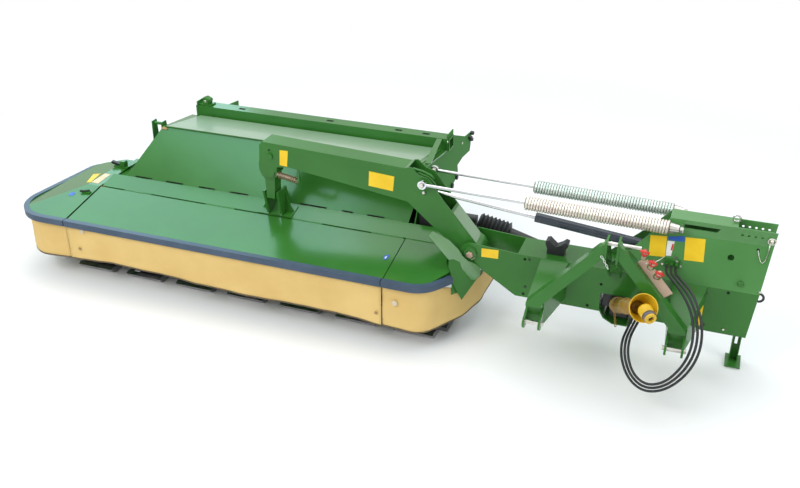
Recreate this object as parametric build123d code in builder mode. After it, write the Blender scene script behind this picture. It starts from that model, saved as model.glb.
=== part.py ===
from build123d import *
import os
from math import pi, tan

# A rear-mounted disc mower with a roller conditioner, parked on its skids and its stand.
# Millimetres. X runs along the machine towards the headstock, Y to the rear (the tractor
# stands in front, at -Y), Z up from the ground. Places are measured from the hitch centre:
# halfway between the lower link pins, on their axis in Y, on the ground in Z.
hitch_x = 1798.0
hitch_y = -931.0

# Three-point hitch, category 2
link_spacing = 870.0
lower_pin_z = 438.0
lower_pin_r = 14.3
lower_pin_gap = 86.0
ear_t = 14.0
ear_r = 42.0
mast_height = 612.0
top_pin_y = 60.0
top_pin_r = 12.7
top_pin_gap = 58.0
mast_plate_t = 12.0
arm_depth = 70.0
pin_clear = 0.3

# Main beam and tower
beam_front = 395.0
beam_rear = 645.0
beam_bottom = 366.0
beam_top = 686.0
beam_wall = 10.0
beam_right = 843.0
fork_start = -640.0
tower_left = -75.0
tower_right = 907.0
tower_top = 1090.0
tower_band = 995.0
band_front = 450.0
band_rear = 585.0
tower_wall = 8.0
tower_roof_end = 680.0
end_slope = (tower_right - beam_right) / (tower_top - beam_bottom)

# Boom pivot, boom and pendulum
pivot_x = -963.0
pivot_z = 629.0
pivot_r = 32.0
fork_r = 78.0
boom_front = 425.0
boom_rear = 575.0
boom_wall = 8.0
boom_mid = (boom_front + boom_rear) / 2
pendulum_x = -2450.0
pendulum_z = 1108.0
pendulum_r = 22.0
link_width = 60.0
link_front = 458.0
link_rear = 556.0

# Lift cylinder and relief springs: both ends of each
cylinder_eye = (-1306.0, 1000.0)
cylinder_base = (350.0, 831.0)
cylinder_gland_x = -560.0
barrel_r = 32.0
piston_rod_r = 14.0
spring_eye = (-1310.0, 1083.0)
spring_seat = (318.0, 1050.0)
spring_length = 905.0
spring_outer_r = 46.0
spring_inner_r = 32.0
spring_turns = 19
spring_rod_r = 11.0
spring_rod_tail = 120.0
spring_front_y = 390.0
spring_rear_y = 650.0
eye_r = 30.0
eye_t = 22.0

# Mower unit
seam_left = -4000.0
seam_right = -1460.0
seam_gap = 6.0
deck_right = -1110.0
sheet = 5.0
edge_y = 45.0
edge_z = 520.0
hinge_y = 490.0
hinge_z = 600.0
knuckle_r = 6.5
knuckle_z = 597.5
deck_edge = 505.0
strip_width = 40.0
strip_height = 48.0
skirt_t = 8.0
skirt_bottom = 185.0
hood_bottom = 640.0
hood_top = 1000.0
hood_front = 655.0
ridge_y = 900.0
bar_front = 1407.0
bar_rear = 1520.0
bar_bottom = 905.0
hood_low_left = -3870.0
hood_low_right = -1500.0
hood_top_left = -3640.0
hood_top_right = -1436.0
roof_drop = 85.0
frame_left = -3640.0
frame_right = -1458.0
frame_plate = 8.0

# Cutterbar, discs and rollers
disc_count = 7
disc_pitch = 440.0
disc_middle = -2620.0
disc_y = 400.0
disc_long = 235.0
disc_short = 165.0
blade_reach = 265.0
blade_width = 46.0
skid_height = 50.0
bar_top = 112.0
disc_z = 121.0
roller_r = 100.0
roller_core_r = 78.0
roller_ribs = 8
roller_shaft_r = 22.0
roller_left = -3600.0
roller_right = -1498.0
lower_roller = (1000.0, 330.0)
upper_roller = (1090.0, 545.0)

# Drive line
guard_start = (35.0, 380.0, 446.0)
guard_end = (230.0, -100.0, 750.0)
guard_r = 48.0
cone_r = 87.0
cone_length = 120.0
joint_r = 22.0
yoke_end = (285.0, -185.0, 735.0)
drive_y = 740.0
drive_right = (-126.0, drive_y, 453.0)
drive_left = (-780.0, drive_y, 640.0)
drive_r = 45.0
bellows_left = (-1005.0, drive_y, 704.3)

# Hoses
hose_r = 8.0


def at(x, y, z):
    """A place measured from the hitch centre, in the part's frame."""
    return Vector(hitch_x + x, hitch_y + y, z)


def side(y):
    """Upright plane across the travel direction: local x is X, local y is Z, normal -Y."""
    return Plane(origin=(hitch_x, hitch_y + y, 0), x_dir=(1, 0, 0), z_dir=(0, -1, 0))


def cross(x):
    """Upright plane across the machine: local x is Y, local y is Z, normal +X."""
    return Plane(origin=(hitch_x + x, hitch_y, 0), x_dir=(0, 1, 0), z_dir=(1, 0, 0))


def flat(z):
    """Level plane: local x is X, local y is Y, normal +Z."""
    return Plane(origin=(hitch_x, hitch_y, z))


def plate(plane, points, thickness, mode=Mode.ADD):
    """Extrudes an outline from its plane along the plane's normal."""
    with BuildSketch(plane) as outline:
        Polygon(*points, align=None)
    extrude(outline.sketch, amount=thickness, mode=mode)


def disc(plane, x, y, radius, thickness, mode=Mode.ADD):
    """Extrudes a circle from its plane along the plane's normal."""
    with BuildSketch(plane) as outline:
        with Locations((x, y)):
            Circle(radius)
    extrude(outline.sketch, amount=thickness, mode=mode)


def block(x, y, z, mode=Mode.ADD):
    """A box between pairs of low and high places."""
    corners = [(x[0], y[0]), (x[1], y[0]), (x[1], y[1]), (x[0], y[1])]
    plate(flat(z[0]), corners, z[1] - z[0], mode)


def rod(start, end, radius, mode=Mode.ADD):
    """A round bar between two places."""
    a = at(*start)
    b = at(*end)
    with BuildSketch(Plane(origin=a, z_dir=b - a)) as section:
        Circle(radius)
    extrude(section.sketch, amount=(b - a).length, mode=mode)


def turned(start, end, profile):
    """A turned piece on the line between two places; profile rows are (along, radius)."""
    a = at(*start)
    b = at(*end)
    axis_plane = Plane(origin=a, x_dir=(b - a).normalized(), z_dir=(b - a).cross(Vector(0, 0, 1)))
    with BuildSketch(axis_plane) as outline:
        Polygon(*profile, align=None)
    revolve(outline.sketch, axis=Axis(a, b - a))


# Beam: a closed box with a fork at its left end and a notch for the drive line
notch_left = -75.0
notch_right = 140.0
notch_top = 505.0
fork_outline = [
    (fork_start, beam_top),
    (-950.0, 706.0),
    (-1035.0, 655.0),
    (-1020.0, 575.0),
    (-905.0, 535.0),
    (fork_start, beam_bottom),
]
with BuildPart() as beam:
    block((fork_start, 960.0), (beam_front, beam_rear), (beam_bottom, beam_top))
    block(
        (fork_start + beam_wall, 960.0),
        (beam_front + beam_wall, beam_rear - beam_wall),
        (beam_bottom + beam_wall, beam_top - beam_wall),
        Mode.SUBTRACT,
    )
    right_cut = [
        (beam_right, beam_bottom),
        (beam_right + end_slope * (beam_top - beam_bottom), beam_top),
        (1100.0, beam_top + 1.0),
        (1100.0, beam_bottom - 1.0),
        (beam_right, beam_bottom - 1.0),
    ]
    plate(side(beam_rear + 1.0), right_cut, beam_rear - beam_front + 2.0, Mode.SUBTRACT)
    for face in (beam_front + beam_wall, beam_rear):
        plate(side(face), fork_outline, beam_wall)
        disc(side(face), pivot_x, pivot_z, fork_r, beam_wall)
    disc(side(beam_rear + 1.0), pivot_x, pivot_z, pivot_r + pin_clear, 260.0, Mode.SUBTRACT)
    liner_out = [
        (notch_left - 8.0, notch_top + 8.0),
        (notch_left - 8.0, 385.0),
        (notch_left + 30.0, 318.0),
        (notch_left + 92.0, 284.0),
        (notch_right - 26.0, 284.0),
        (notch_right + 8.0, 318.0),
        (notch_right + 8.0, notch_top + 8.0),
    ]
    liner_in = [
        (notch_left, notch_top),
        (notch_left, 388.0),
        (notch_left + 36.0, 325.0),
        (notch_left + 95.0, 292.0),
        (notch_right - 30.0, 292.0),
        (notch_right, 322.0),
        (notch_right, notch_top),
    ]
    plate(side(beam_rear), liner_out, beam_rear - beam_front)
    plate(side(beam_rear + 1.0), liner_in, beam_rear - beam_front + 2.0, Mode.SUBTRACT)

# Tower: folded side plates standing on the beam, open at both ends
with BuildPart() as tower:
    with BuildSketch(cross(tower_left)):
        Polygon(
            (beam_front, beam_top),
            (band_front, tower_band),
            (band_front, tower_top),
            (band_rear, tower_top),
            (band_rear, tower_band),
            (beam_rear, beam_top),
            align=None,
        )
        Polygon(
            (beam_front + tower_wall, beam_top),
            (band_front + tower_wall, tower_band),
            (band_front + tower_wall, tower_top - tower_wall),
            (band_rear - tower_wall, tower_top - tower_wall),
            (band_rear - tower_wall, tower_band),
            (beam_rear - tower_wall, beam_top),
            align=None,
            mode=Mode.SUBTRACT,
        )
    extrude(amount=1100.0)
    tower_ends = [
        [
            (tower_left - 5.0, beam_top + 4.0),
            (95.0, 870.0),
            (176.0, 960.0),
            (290.0, tower_top + 1.0),
            (tower_left - 5.0, tower_top + 1.0),
        ],
        [
            (beam_right + end_slope * (beam_top - beam_bottom), beam_top - 1.0),
            (tower_right, tower_top + 1.0),
            (1100.0, tower_top + 1.0),
            (1100.0, beam_top - 1.0),
        ],
    ]
    for ends in tower_ends:
        plate(side(beam_rear + 1.0), ends, beam_rear - beam_front + 2.0, Mode.SUBTRACT)
    block(
        (tower_roof_end, 1000.0),
        (band_front + tower_wall, band_rear - tower_wall),
        (tower_band, tower_top + 1.0),
        Mode.SUBTRACT,
    )
    slot = [(370.0, 1035.0), (565.0, 1035.0), (585.0, 1062.0), (370.0, 1062.0)]
    plate(side(band_rear + 1.0), slot, band_rear - band_front + 2.0, Mode.SUBTRACT)
    for number in range(5):
        disc(side(band_rear + 1.0), 710.0 + 38.0 * number, 1045.0, 8.0, 140.0, Mode.SUBTRACT)
    disc(side(beam_rear), 669.0, 892.0, 20.0, 260.0, Mode.SUBTRACT)
    disc(side(beam_rear), cylinder_base[0], cylinder_base[1], 15.0 + pin_clear, 260.0, Mode.SUBTRACT)
    disc(side(spring_rear_y - 24.0), spring_seat[0], spring_seat[1], 10.0, spring_rear_y - spring_front_y - 48.0)

# Headstock frame: mast, arms, troughs and the ears for the lower link pins
mast_z = lower_pin_z + mast_height
ear_half = lower_pin_gap / 2
arm_top = (85.0, mast_z - 15.0)
arm_knee = (485.0, lower_pin_z + 137.0)
arm_low_z = lower_pin_z + 110.0
arm_outline = [
    (40.0, mast_z + 25.0),
    arm_top,
    arm_knee,
    (arm_knee[0], arm_low_z),
    (385.0, arm_low_z),
    (385.0, arm_knee[1] + 2.0),
    (40.0, mast_z - 68.0),
]


def arm_edge(x):
    """Height of an arm's outer edge at a distance from the middle."""
    share = (arm_knee[0] - x) / (arm_knee[0] - arm_top[0])
    return arm_knee[1] + share * (arm_top[1] - arm_knee[1])


# Each trough: X of its two walls at the beam, then at the ears
troughs = {-1: (-482.0, -300.0, -492.0, -378.0), 1: (355.0, 567.0, 378.0, 492.0)}
trough_t = 8.0
with BuildPart() as headstock_frame:
    for hand in (-1, 1):
        plate(side(arm_depth), [(hand * x, z) for x, z in arm_outline], arm_depth)
        left, right, ear_left, ear_right = troughs[hand]
        with BuildSketch(side(beam_front - pin_clear)) as back_out:
            Polygon((left, 420.0), (right, 420.0), (right, beam_top), (left, beam_top), align=None)
        with BuildSketch(side(arm_depth - 10.0)) as front_out:
            Polygon((ear_left, 395.0), (ear_right, 395.0), (ear_right, 560.0), (ear_left, 560.0), align=None)
        loft([back_out.sketch.face(), front_out.sketch.face()])
    for hand in (-1, 1):
        left, right, ear_left, ear_right = troughs[hand]
        with BuildSketch(side(beam_front + 1.0)) as back_in:
            Polygon(
                (left + trough_t, 410.0),
                (right - trough_t, 410.0),
                (right - trough_t, beam_top - trough_t),
                (left + trough_t, beam_top - trough_t),
                align=None,
            )
        with BuildSketch(side(arm_depth - 1.0)) as front_in:
            Polygon(
                (ear_left + trough_t, 385.0),
                (ear_right - trough_t, 385.0),
                (ear_right - trough_t, 552.0),
                (ear_left + trough_t, 552.0),
                align=None,
            )
        loft([back_in.sketch.face(), front_in.sketch.face()], mode=Mode.SUBTRACT)
        for edge in (-1, 1):
            inner = hand * link_spacing / 2 + edge * ear_half
            low = min(inner, inner + edge * ear_t)
            ear = [(-20.0, 470.0), (110.0, 545.0), (110.0, 395.0), (-20.0, 400.0)]
            plate(cross(low), ear, ear_t)
            disc(cross(low), 0.0, lower_pin_z, ear_r, ear_t)
        disc(cross(hand * link_spacing / 2 - 70.0), 0.0, lower_pin_z, lower_pin_r + pin_clear, 140.0, Mode.SUBTRACT)
    mast_plate = [
        (-5.0, mast_z + 38.0),
        (100.0, mast_z + 38.0),
        (beam_front - pin_clear, beam_top + 74.0),
        (beam_front - pin_clear, beam_top - 46.0),
        (arm_depth, mast_z - 150.0),
        (-5.0, mast_z - 100.0),
    ]
    for hand in (-1, 1):
        face = hand * (top_pin_gap / 2 + mast_plate_t / 2) - mast_plate_t / 2
        plate(cross(face), mast_plate, mast_plate_t)
    mast_back = [
        (150.0, mast_z - 190.0),
        (beam_front - 60.0, beam_top + 14.0),
        (beam_front - 50.0, beam_top + 26.0),
        (160.0, mast_z - 178.0),
    ]
    plate(cross(-top_pin_gap / 2), mast_back, top_pin_gap)
    disc(cross(-100.0), top_pin_y, mast_z, top_pin_r + pin_clear, 200.0, Mode.SUBTRACT)

# Hitch pins: two lower link pins and the long top link pin
with BuildPart() as hitch_pins:
    for hand in (-1, 1):
        start = hand * link_spacing / 2 - ear_half - ear_t - 14.0
        disc(cross(start), 0.0, lower_pin_z, lower_pin_r, lower_pin_gap + 2 * ear_t + 28.0)
    disc(cross(-70.0), top_pin_y, mast_z, top_pin_r, 232.0)

# Pivot pin of the boom with its round head, and the pin of the cylinder's base
with BuildPart() as pivot_pins:
    disc(side(beam_rear + 16.0), pivot_x, pivot_z, pivot_r, beam_rear - beam_front + 32.0)
    disc(side(beam_front - pin_clear), pivot_x, pivot_z, 42.0, 16.0)
    disc(side(630.0), cylinder_base[0], cylinder_base[1], 15.0, 208.0)

# Rest block on the beam with two rubber humps
with BuildPart() as rest_block:
    rest_outline = [
        (-462.0, beam_top),
        (-348.0, beam_top),
        (-348.0, beam_top + 42.0),
        (-326.0, beam_top + 72.0),
        (-326.0, beam_top + 92.0),
        (-348.0, beam_top + 98.0),
        (-372.0, beam_top + 76.0),
        (-405.0, beam_top + 58.0),
        (-430.0, beam_top + 78.0),
        (-452.0, beam_top + 100.0),
        (-474.0, beam_top + 92.0),
        (-474.0, beam_top + 70.0),
        (-462.0, beam_top + 42.0),
    ]
    plate(side(535.0), rest_outline, 70.0)

# Stand: a guide on the beam's rear face, and the leg that slides in it
stand_x = 812.0
stand_w = 56.0
stand_depth = 46.0
guide_t = 8.0
stand_front = beam_rear + guide_t + 4.0
with BuildPart() as stand_guide:
    for low in (beam_bottom + 10.0, beam_top - 60.0):
        block(
            (stand_x - stand_w / 2 - 12.0, stand_x + stand_w / 2 + 12.0),
            (beam_rear + pin_clear, stand_front + stand_depth + 12.0),
            (low, low + 50.0),
        )
        block(
            (stand_x - stand_w / 2 - 0.6, stand_x + stand_w / 2 + 0.6),
            (stand_front - 0.6, stand_front + stand_depth + 0.6),
            (low - 1.0, low + 51.0),
            Mode.SUBTRACT,
        )
leg_top = 650.0
with BuildPart() as stand_leg:
    block((stand_x - stand_w / 2, stand_x + stand_w / 2), (stand_front, stand_front + stand_depth), (10.0, leg_top))
    block(
        (stand_x - stand_w / 2 + 6.0, stand_x + stand_w / 2 - 6.0),
        (stand_front - 1.0, stand_front + stand_depth - 6.0),
        (11.0, leg_top + 1.0),
        Mode.SUBTRACT,
    )
    for number in range(4):
        low = 120.0 + 110.0 * number
        slot = [(stand_x - 9.0, low), (stand_x + 9.0, low), (stand_x + 9.0, low + 60.0), (stand_x - 9.0, low + 60.0)]
        plate(side(stand_front + stand_depth + 1.0), slot, 10.0, Mode.SUBTRACT)
    foot = [(stand_front - 70.0, 0.0), (stand_front + 70.0, 0.0), (stand_front + 78.0, 12.0), (stand_front - 78.0, 12.0)]
    plate(cross(stand_x - 50.0), foot, 100.0)

# Hydraulic bulkhead on the tower where the hoses leave it
gland_x = (306.0, 334.0, 362.0)
gland_z = 800.0
gland_face = beam_front + (gland_z - beam_top) * (band_front - beam_front) / (tower_band - beam_top)
with BuildPart() as hose_gland:
    lean = (band_front - beam_front) / (tower_band - beam_top)
    gland_outline = [
        (gland_face - 16.0, gland_z - 26.0),
        (gland_face - 26.0 * lean - pin_clear, gland_z - 26.0),
        (gland_face + 26.0 * lean - pin_clear, gland_z + 26.0),
        (gland_face - 16.0, gland_z + 26.0),
    ]
    plate(cross(286.0), gland_outline, 96.0)
    for x in gland_x:
        rod((x, gland_face - 10.0, gland_z), (x, gland_face - 50.0, gland_z), 12.5)

# Hose routes, one row per hose, from the bulkhead to its parked coupler
hose_start = gland_face - 50.0
hose_routes = [
    [
        (306.0, hose_start, gland_z),
        (306.0, 290.0, gland_z),
        (344.0, 205.0, 810.0),
        (412.0, 118.0, 790.0),
        (492.0, 32.0, 715.0),
        (529.0, -50.0, 627.0),
        (530.0, -112.0, 520.0),
        (491.0, -142.0, 408.0),
        (417.0, -150.0, 295.0),
        (317.0, -128.0, 231.0),
        (228.0, -84.0, 256.0),
        (173.0, -16.0, 335.0),
        (162.0, 82.0, 399.0),
        (183.0, 190.0, 433.0),
        (222.0, 292.0, 497.0),
        (240.0, 314.0, 620.0),
        (243.0, 236.0, 720.0),
        (243.0, 144.0, arm_edge(243.0) - 53.3),
        (268.0, 66.0, arm_edge(268.0) + 51.45),
    ],
    [
        (334.0, hose_start, gland_z),
        (334.0, 290.0, gland_z),
        (372.0, 205.0, 812.0),
        (440.0, 118.0, 796.0),
        (508.0, 32.0, 735.0),
        (552.0, -50.0, 640.0),
        (556.0, -112.0, 520.0),
        (512.0, -142.0, 392.0),
        (425.0, -150.0, 270.0),
        (315.0, -128.0, 205.0),
        (218.0, -84.0, 232.0),
        (156.0, -16.0, 316.0),
        (140.0, 82.0, 384.0),
        (160.0, 190.0, 420.0),
        (196.0, 292.0, 492.0),
        (214.0, 314.0, 620.0),
        (212.0, 236.0, 738.0),
        (206.0, 144.0, arm_edge(206.0) - 59.85),
        (226.0, 66.0, arm_edge(226.0) + 57.15),
    ],
    [
        (362.0, hose_start, gland_z),
        (362.0, 290.0, gland_z),
        (400.0, 205.0, 814.0),
        (468.0, 118.0, 802.0),
        (524.0, 32.0, 755.0),
        (575.0, -50.0, 653.0),
        (582.0, -112.0, 520.0),
        (533.0, -142.0, 376.0),
        (433.0, -150.0, 245.0),
        (313.0, -128.0, 179.0),
        (208.0, -84.0, 208.0),
        (139.0, -16.0, 297.0),
        (118.0, 82.0, 369.0),
        (137.0, 190.0, 407.0),
        (170.0, 292.0, 487.0),
        (188.0, 314.0, 620.0),
        (179.0, 236.0, 756.0),
        (165.0, 144.0, arm_edge(165.0) - 71.0),
        (178.0, 66.0, arm_edge(178.0) + 55.95),
    ],
]


def hose(route):
    """A hose tube: straight runs joined by tangent arcs as large as the runs allow."""
    points = [at(*p) for p in route]
    runs = [b - a for a, b in zip(points, points[1:])]
    radii = []
    for before, after in zip(runs, runs[1:]):
        turn = before.get_angle(after)
        radii.append(0.45 * min(before.length, after.length) / tan(turn / 2 * pi / 180))
    print("arc radii:", [round(r) for r in radii])
    print("runs:", [round(r.length) for r in runs])
    with BuildPart() as tube:
        with BuildLine() as path:
            FilletPolyline(*points, radius=radii)
        with BuildSketch(Plane(origin=path.line @ 0, z_dir=path.line % 0)):
            Circle(hose_r)
        sweep(path=path.line)
    section = pi * hose_r**2
    total = sum(piece.length for piece in path.line.edges())
    print("length:", round(total), "volume ratio:", round(tube.part.volume / section / total, 4))
    return tube


hoses = [hose(route) for route in hose_routes]

# Couplers with their caps at the hoses' ends, and the comb that holds them
with BuildPart() as couplers:
    for route in hose_routes:
        a = Vector(*route[-2])
        b = Vector(*route[-1])
        along = (b - a).normalized()
        end = b + along * 62.0
        cap = end + along * 26.0
        rod(tuple(b), tuple(end), 13.0)
        rod(tuple(end), tuple(cap), 19.0)
comb_points = [
    (150.0, arm_edge(150.0) + 0.35),
    (330.0, arm_edge(330.0) + 0.35),
    (374.0, arm_edge(330.0) + 38.35),
    (194.0, arm_edge(150.0) + 38.35),
]
comb_slots = [
    (181.0, arm_edge(181.0) + 74.4),
    (230.0, arm_edge(230.0) + 74.75),
    (272.6, arm_edge(272.6) + 67.14),
]
with BuildPart() as hose_holder:
    plate(side(58.0), comb_points, 6.0)
    for x, z in comb_slots:
        disc(side(59.0), x, z, 24.0, 8.0, Mode.SUBTRACT)

# Drive line: gearbox in the beam's notch, guard tube and cone, yoke, rear drive shaft
stub_end = (39.9, 368.0, 453.6)
cone_wall = 5.0
with BuildPart() as gearbox:
    block((-62.0, 128.0), (430.0, 700.0), (392.0, notch_top - pin_clear))
    block((-8.0, 105.0), (440.0, 690.0), (322.0, 393.0))
    rod((20.0, 440.0, 420.0), (25.3, 404.0, 430.8), guard_r - cone_wall - 0.1)
    rod((25.3, 404.0, 430.8), stub_end, guard_r - cone_wall - 0.1)
    block((-110.0, -30.0), (699.0, 790.0), (390.0, 490.0))
    rod((-90.0, drive_y, 442.7), (-125.7, drive_y, 452.9), 36.0)
guard_vector = Vector(*guard_end) - Vector(*guard_start)
guard_length = guard_vector.length
with BuildPart() as drive_guard:
    tube_profile = [
        (0.0, guard_r - cone_wall),
        (guard_length - cone_length, guard_r - cone_wall),
        (guard_length, cone_r - cone_wall),
        (guard_length, cone_r),
        (guard_length - cone_length, guard_r),
        (0.0, guard_r),
    ]
    turned(guard_start, guard_end, tube_profile)
with BuildPart() as inner_shaft:
    rod((40.2, 367.2, 454.1), guard_end, 13.0)
    with Locations(at(*guard_end)):
        Sphere(joint_r)
yoke_bore_r = 17.45
with BuildPart() as drive_yoke:
    yoke_profile = [
        (2.0, 0.0),
        (2.0, 36.0),
        (14.0, 42.0),
        (45.0, 42.0),
        (60.0, 34.0),
        (102.0, 34.0),
        (102.0, yoke_bore_r),
        (38.0, yoke_bore_r),
        (38.0, 0.0),
    ]
    turned(guard_end, yoke_end, yoke_profile)
    with Locations(at(*guard_end)):
        Sphere(joint_r + pin_clear, mode=Mode.SUBTRACT)
with BuildPart() as drive_shaft:
    rod(drive_right, drive_left, drive_r)
bellows_axis = Vector(*bellows_left) - Vector(*drive_left)
bellows_length = bellows_axis.length
bellows_waves = 8
with BuildPart() as bellows:
    wave = (bellows_length - 2.0) / bellows_waves
    crest = [(pin_clear, drive_r + 4.0)]
    for number in range(bellows_waves):
        crest.append((pin_clear + wave * (number + 0.5), 82.0 - 2.5 * number))
        crest.append((pin_clear + wave * (number + 1.0), 66.0 - 2.5 * number))
    trough_line = [(a, r - 6.0) for a, r in reversed(crest)]
    turned(drive_left, bellows_left, crest + trough_line)

# Boom: a box that rises from the pivot to the elbow and runs out over the mower
boom_outline = [
    (-2504.0, 1209.0),
    (-1445.0, 1168.0),
    (-1424.0, 1177.0),
    (-1400.0, 1180.0),
    (-1380.0, 1163.0),
    (-1345.0, 1132.0),
    (-1309.0, 1122.0),
    (-1285.0, 1117.0),
    (-1264.0, 1096.0),
    (-1182.0, 985.0),
    (-905.0, 658.0),
    (-905.0, 600.0),
    (-1010.0, 572.0),
    (-1030.0, 590.0),
    (-1390.0, 895.0),
    (-1425.0, 925.0),
    (-2310.0, 1042.0),
    (-2400.0, 1030.0),
    (-2425.0, 985.0),
    (-2434.0, 946.0),
    (-2493.0, 940.0),
    (-2527.0, 947.0),
    (-2538.0, 1050.0),
    (-2530.0, 1180.0),
]
with BuildPart() as boom:
    plate(side(boom_rear), boom_outline, boom_rear - boom_front)
    disc(side(boom_rear), pivot_x, pivot_z, fork_r - 4.0, boom_rear - boom_front)
    with BuildSketch(side(boom_rear - boom_wall)) as hollow:
        Polygon(*boom_outline, align=None)
        offset(amount=-boom_wall, mode=Mode.REPLACE)
    extrude(hollow.sketch, amount=boom_rear - boom_front - 2 * boom_wall, mode=Mode.SUBTRACT)
    open_ends = [
        [(-2700.0, 900.0), (-2395.0, 900.0), (-2395.0, 1190.0), (-2700.0, 1190.0)],
        [
            (-1420.0, 1300.0),
            (-1420.0, 1040.0),
            (-1330.0, 930.0),
            (-1190.0, 820.0),
            (-1116.0, 845.0),
            (-1116.0, 1300.0),
        ],
    ]
    for outline in open_ends:
        plate(side(boom_rear - boom_wall), outline, boom_rear - boom_front - 2 * boom_wall, Mode.SUBTRACT)
    disc(side(boom_rear - boom_wall), pivot_x, pivot_z, pivot_r + 14.0, boom_rear - boom_front - 2 * boom_wall)
    fork_inner = (beam_front + beam_wall + pin_clear, beam_rear - beam_wall - pin_clear)
    disc(side(boom_front), pivot_x, pivot_z, pivot_r + 14.0, boom_front - fork_inner[0])
    disc(side(fork_inner[1]), pivot_x, pivot_z, pivot_r + 14.0, fork_inner[1] - boom_rear)
    disc(side(beam_rear), pivot_x, pivot_z, pivot_r + pin_clear, 260.0, Mode.SUBTRACT)
    disc(side(boom_rear + 14.0), pendulum_x, pendulum_z, pendulum_r, boom_rear - boom_front + 28.0)
    disc(side(boom_front + boom_wall), -2455.0, 1153.0, 9.0, 20.0, Mode.SUBTRACT)
    block((-2245.0, -2230.0), (boom_front, boom_front + 8.0), (935.0, 1045.0))
    block((-2245.0, -2237.0), (boom_front, boom_front + 30.0), (940.0, 976.0))
    block((-2418.0, -2404.8), (boom_front, boom_front + 30.0), (952.0, 1040.0))

# Small return spring between the boom's lug and its bracket
with BuildPart() as hook_spring:
    hook_profile = [(0.0, 0.0), (0.0, 4.0)]
    for number in range(11):
        hook_profile.append((18.0 + 11.0 * number, 10.0))
        hook_profile.append((23.5 + 11.0 * number, 17.0))
    hook_profile.extend([(140.0, 10.0), (158.0, 4.0), (158.0, 0.0)])
    turned((-2404.0, 437.0, 968.0), (-2245.8, 437.0, 958.0), hook_profile)

# Lift cylinder; its base turns on a pin through the tower
cyl_a = (cylinder_base[0], boom_mid, cylinder_base[1])
cyl_b = (cylinder_eye[0], boom_mid, cylinder_eye[1])
cyl_vector = Vector(*cyl_b) - Vector(*cyl_a)
barrel_length = (cylinder_base[0] - cylinder_gland_x) / (cyl_a[0] - cyl_b[0]) * cyl_vector.length
with BuildPart() as cylinder_barrel:
    barrel_profile = [
        (40.0, 0.0),
        (40.0, barrel_r),
        (barrel_length, barrel_r),
        (barrel_length, piston_rod_r + pin_clear),
        (90.0, piston_rod_r + pin_clear),
        (90.0, 0.0),
    ]
    turned(cyl_a, cyl_b, barrel_profile)
    disc(side(boom_mid + 25.0), cylinder_base[0], cylinder_base[1], 42.0, 50.0)
    disc(side(boom_mid + 30.0), cylinder_base[0], cylinder_base[1], 15.0 + pin_clear, 60.0, Mode.SUBTRACT)
rod_start = barrel_length - 105.0
with BuildPart() as cylinder_rod:
    rod_profile = [
        (rod_start, 0.0),
        (rod_start, piston_rod_r),
        (cyl_vector.length - 20.0, piston_rod_r),
        (cyl_vector.length - 20.0, 0.0),
    ]
    turned(cyl_a, cyl_b, rod_profile)
    disc(side(boom_mid + 20.0), cylinder_eye[0], cylinder_eye[1], eye_r, 40.0)
    eye_pin = (boom_rear - boom_front) / 2 - boom_wall - 1.0
    disc(side(boom_mid + eye_pin), cylinder_eye[0], cylinder_eye[1], 15.0, 2 * eye_pin)

# Relief springs: coil sleeve with its seat on the tower, and the rod that slides in it
spring_a = (spring_seat[0], spring_seat[1])
spring_parts = {}
for name, y in (("front", spring_front_y), ("rear", spring_rear_y)):
    seat = (spring_a[0], y, spring_a[1])
    eye = (spring_eye[0], y, spring_eye[1])
    span = (Vector(*eye) - Vector(*seat)).length
    pitch = spring_length / spring_turns
    coil_end = 28.0 + spring_length
    sleeve = [
        (coil_end, spring_rod_r + pin_clear),
        (coil_end - 10.0, spring_rod_r + pin_clear),
        (coil_end - 10.0, spring_inner_r),
        (28.0, spring_inner_r),
    ]
    ribs = [(28.0, spring_outer_r - 8.0)]
    for number in range(spring_turns):
        ribs.append((28.0 + pitch * (number + 0.5), spring_outer_r))
        ribs.append((28.0 + pitch * (number + 1.0), spring_outer_r - 8.0))
    with BuildPart() as coil:
        turned(seat, eye, sleeve + ribs)
    seat_profile = [
        (-26.0, spring_rod_r + 2.0),
        (-26.0, 26.0),
        (28.0 - pin_clear, 34.0),
        (28.0 - pin_clear, spring_rod_r + 2.0),
    ]
    with BuildPart() as seat_block:
        turned(seat, eye, seat_profile)
        disc(side(spring_rear_y - 23.0), seat[0], seat[2], 10.0 + pin_clear, spring_rear_y - spring_front_y - 46.0, Mode.SUBTRACT)
    with BuildPart() as slider:
        rod_from = 28.0 + spring_length - spring_rod_tail
        turned(seat, eye, [(rod_from, 0.0), (rod_from, spring_rod_r), (span - 20.0, spring_rod_r), (span - 20.0, 0.0)])
        disc(side(y + eye_t / 2), spring_eye[0], spring_eye[1], eye_r, eye_t)
        pin_rear = spring_rear_y + 1.0 if name == "rear" else boom_front - 0.6
        pin_front = boom_rear + 0.6 if name == "rear" else spring_front_y - 1.0
        disc(side(pin_rear), spring_eye[0], spring_eye[1], 13.0, pin_rear - pin_front)
    spring_parts[name] = (coil, seat_block, slider)

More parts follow.
